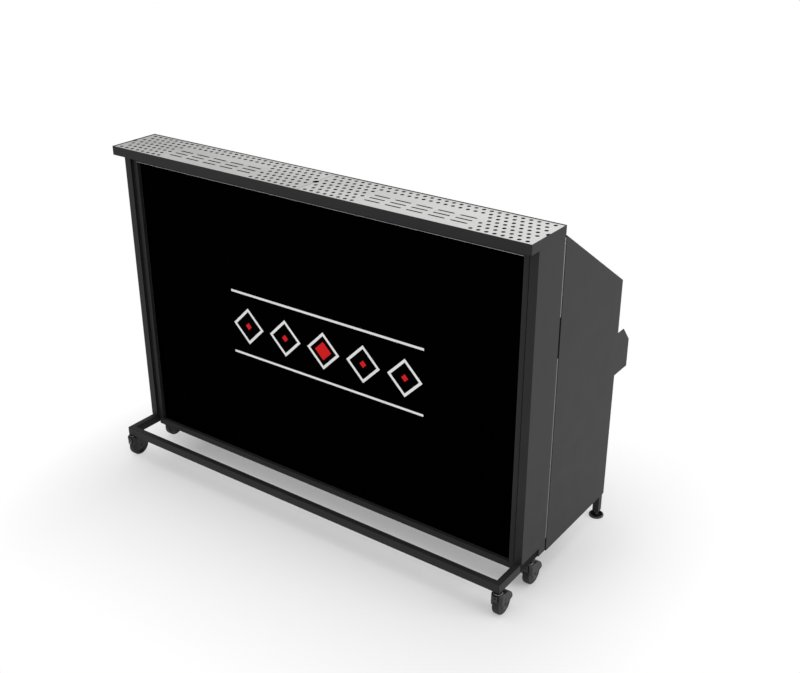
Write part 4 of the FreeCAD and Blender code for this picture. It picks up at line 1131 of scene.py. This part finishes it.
def caster_collars():
    """Under the tubes: black caps on the stems, each with a pressed ring. Outlines are (up, out)."""
    low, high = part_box("caster_stems")
    caps = bmesh.new()
    rings = bmesh.new()
    for place in CASTERS:
        centre = swivel_axis(place)
        top = high.z - centre.z
        bottom = low.z - centre.z
        ring = [
            (-5 * MM, 11 * MM), (-5 * MM, 13.8 * MM), (-4.5 * MM, 14.5 * MM), (-3.9 * MM, 14 * MM),
            (-3.5 * MM, 12.8 * MM), (-3.5 * MM, 11 * MM), (-5 * MM, 11 * MM),
        ]
        turn(rings, ring, centre, UP, 40)
        cap = [
            (top, 0), (top, 4.9 * MM), (0.0, 5 * MM), (0.0, 11.6 * MM), (-MM, 12.8 * MM),
            (-3.4 * MM, 12.8 * MM), (-3.6 * MM, 10.8 * MM), (-4.9 * MM, 10.8 * MM), (-4.9 * MM, 3.5 * MM),
            (bottom, 3.4 * MM), (bottom, 0),
        ]
        turn(caps, cap, centre, UP, 40)
    shaped("stem_caps", caps, RUBBER_AND_PAINTED_SHADE, "carcass", "caster_stems", smooth=35)
    shaped("stem_rings", rings, HINGE, "carcass", smooth=35)


# Floor, light and camera

CAMERA_PLACE = (2.09474, -2.68103, 2.1719)
CAMERA_TILT = 64.69
CAMERA_TURN = 35.74
CAMERA_LENS = 50.13
CAMERA_SENSOR = 36.0

# The floor's painted light: a white glow whose share is SHADE_WHITE under the bar and grows to full past the
# reach around this box
SHADE_MIDDLE = (0.08, -0.12, 0.0)
SHADE_HALF = (0.7, 0.12, 0.0)
SHADE_REACH = (0.45, 0.82, 1.0)
SHADE_WHITE = 0.22
FLOOR_SIZE = 60.0

# Where the room is dimmer, as the X of a direction, and by how much
DIM_FROM = -0.4
DIM_FULL = -0.8
DIM_REFLECTION = -0.6
DIM_FILL = -0.35

# Lights: place, aim, size in metres and watts
KEY_LIGHT = ((4.4, 0.9, 1.3), (0.4, 0.0, 0.6), 2.4, 76.0)
TOP_LIGHT = ((0.2, -0.6, 4.0), (0.0, 0.0, 0.4), 2.6, 30.0)


def floor():
    """A pale floor that keeps part of the shadow near the bar and turns to plain white away from it; its
    white glow, seen by the camera and in reflections, is painted light.
    """
    bpy.ops.mesh.primitive_plane_add(size=FLOOR_SIZE)
    ground = bpy.context.object
    ground.name = "floor"
    material = bpy.data.materials.new("white_studio_floor")
    material.use_nodes = True
    tree = material.node_tree
    tree.nodes.clear()
    place = add(tree, "ShaderNodeTexCoord").outputs["Object"]
    apart = add(tree, "ShaderNodeVectorMath", {0: place, 1: SHADE_MIDDLE}, operation="SUBTRACT")
    either_side = add(tree, "ShaderNodeVectorMath", {0: apart}, operation="ABSOLUTE")
    beyond = add(tree, "ShaderNodeVectorMath", {0: either_side, 1: SHADE_HALF}, operation="SUBTRACT")
    outside = add(tree, "ShaderNodeVectorMath", {0: beyond, 1: (0.0, 0.0, 0.0)}, operation="MAXIMUM")
    scaled = add(tree, "ShaderNodeVectorMath", {0: outside, 1: SHADE_REACH}, operation="DIVIDE")
    distance = add(tree, "ShaderNodeVectorMath", {0: scaled}, operation="LENGTH").outputs["Value"]
    away = add(tree, "ShaderNodeMapRange", {"Value": distance, "To Min": SHADE_WHITE})
    path = add(tree, "ShaderNodeLightPath").outputs
    mirrored = add(tree, MATH, {
        0: path["Is Glossy Ray"], 1: path["Is Transmission Ray"]}, operation="MAXIMUM")
    seen = add(tree, MATH, {0: path["Is Camera Ray"], 1: mirrored}, operation="MAXIMUM")
    amount = add(tree, MATH, {0: away, 1: seen}, operation="MULTIPLY")
    matt = add(tree, "ShaderNodeBsdfDiffuse", {"Color": linear("#f4f4f4")})
    white = add(tree, "ShaderNodeEmission")
    mixed = add(tree, "ShaderNodeMixShader", {0: amount, 1: matt, 2: white})
    add(tree, "ShaderNodeOutputMaterial", {"Surface": mixed})
    ground.data.materials.append(material)


def studio():
    """A white room with two soft lights. It lights matt surfaces a little less than it shows,
    and its far left, which the brushed top reflects, is dimmer in reflections."""
    world = bpy.data.worlds.new("studio")
    bpy.context.scene.world = world
    world.use_nodes = True
    tree = world.node_tree
    tree.nodes.clear()
    direction = add(tree, "ShaderNodeTexCoord").outputs["Generated"]
    across = add(tree, "ShaderNodeSeparateXYZ", {"Vector": direction}).outputs["X"]
    dimmed = add(tree, "ShaderNodeMapRange", {
        "Value": across, "From Min": DIM_FULL, "From Max": DIM_FROM, "To Min": DIM_REFLECTION, "To Max": 0.0})
    path = add(tree, "ShaderNodeLightPath").outputs
    glossy = add(tree, MATH, {0: dimmed, 1: path["Is Glossy Ray"], 2: 1.0}, operation="MULTIPLY_ADD")
    strength = add(tree, MATH, {0: path["Is Diffuse Ray"], 1: DIM_FILL, 2: glossy}, operation="MULTIPLY_ADD")
    sky = add(tree, "ShaderNodeBackground", {"Color": (1, 1, 1, 1), "Strength": strength})
    add(tree, "ShaderNodeOutputWorld", {"Surface": sky})
    light("key", *KEY_LIGHT)
    light("top", *TOP_LIGHT)


def light(name, place, aim, size, power):
    """A square area light that points at a place."""
    lamp = bpy.data.lights.new(name, "AREA")
    lamp.size = size
    lamp.energy = power
    thing = in_scene(name, lamp)
    thing.location = place
    thing.rotation_euler = (Vector(aim) - Vector(place)).to_track_quat("-Z", "Y").to_euler()


def camera():
    lens = bpy.data.cameras.new("camera")
    lens.lens = CAMERA_LENS
    lens.sensor_width = CAMERA_SENSOR
    thing = in_scene("camera", lens)
    thing.location = CAMERA_PLACE
    thing.rotation_euler = (math.radians(CAMERA_TILT), 0, math.radians(CAMERA_TURN))
    bpy.context.scene.camera = thing


camera()
bar_top()
drip_plates()
chassis()
carcass()
even_row = row_rule()
panel_pattern(even_row)
hinges()
wings()
worktop(even_row)
pans()
ice_bin()
ice_bin_lid()
casters()
floor()
studio()
bpy.context.scene.view_settings.view_transform = "Standard"
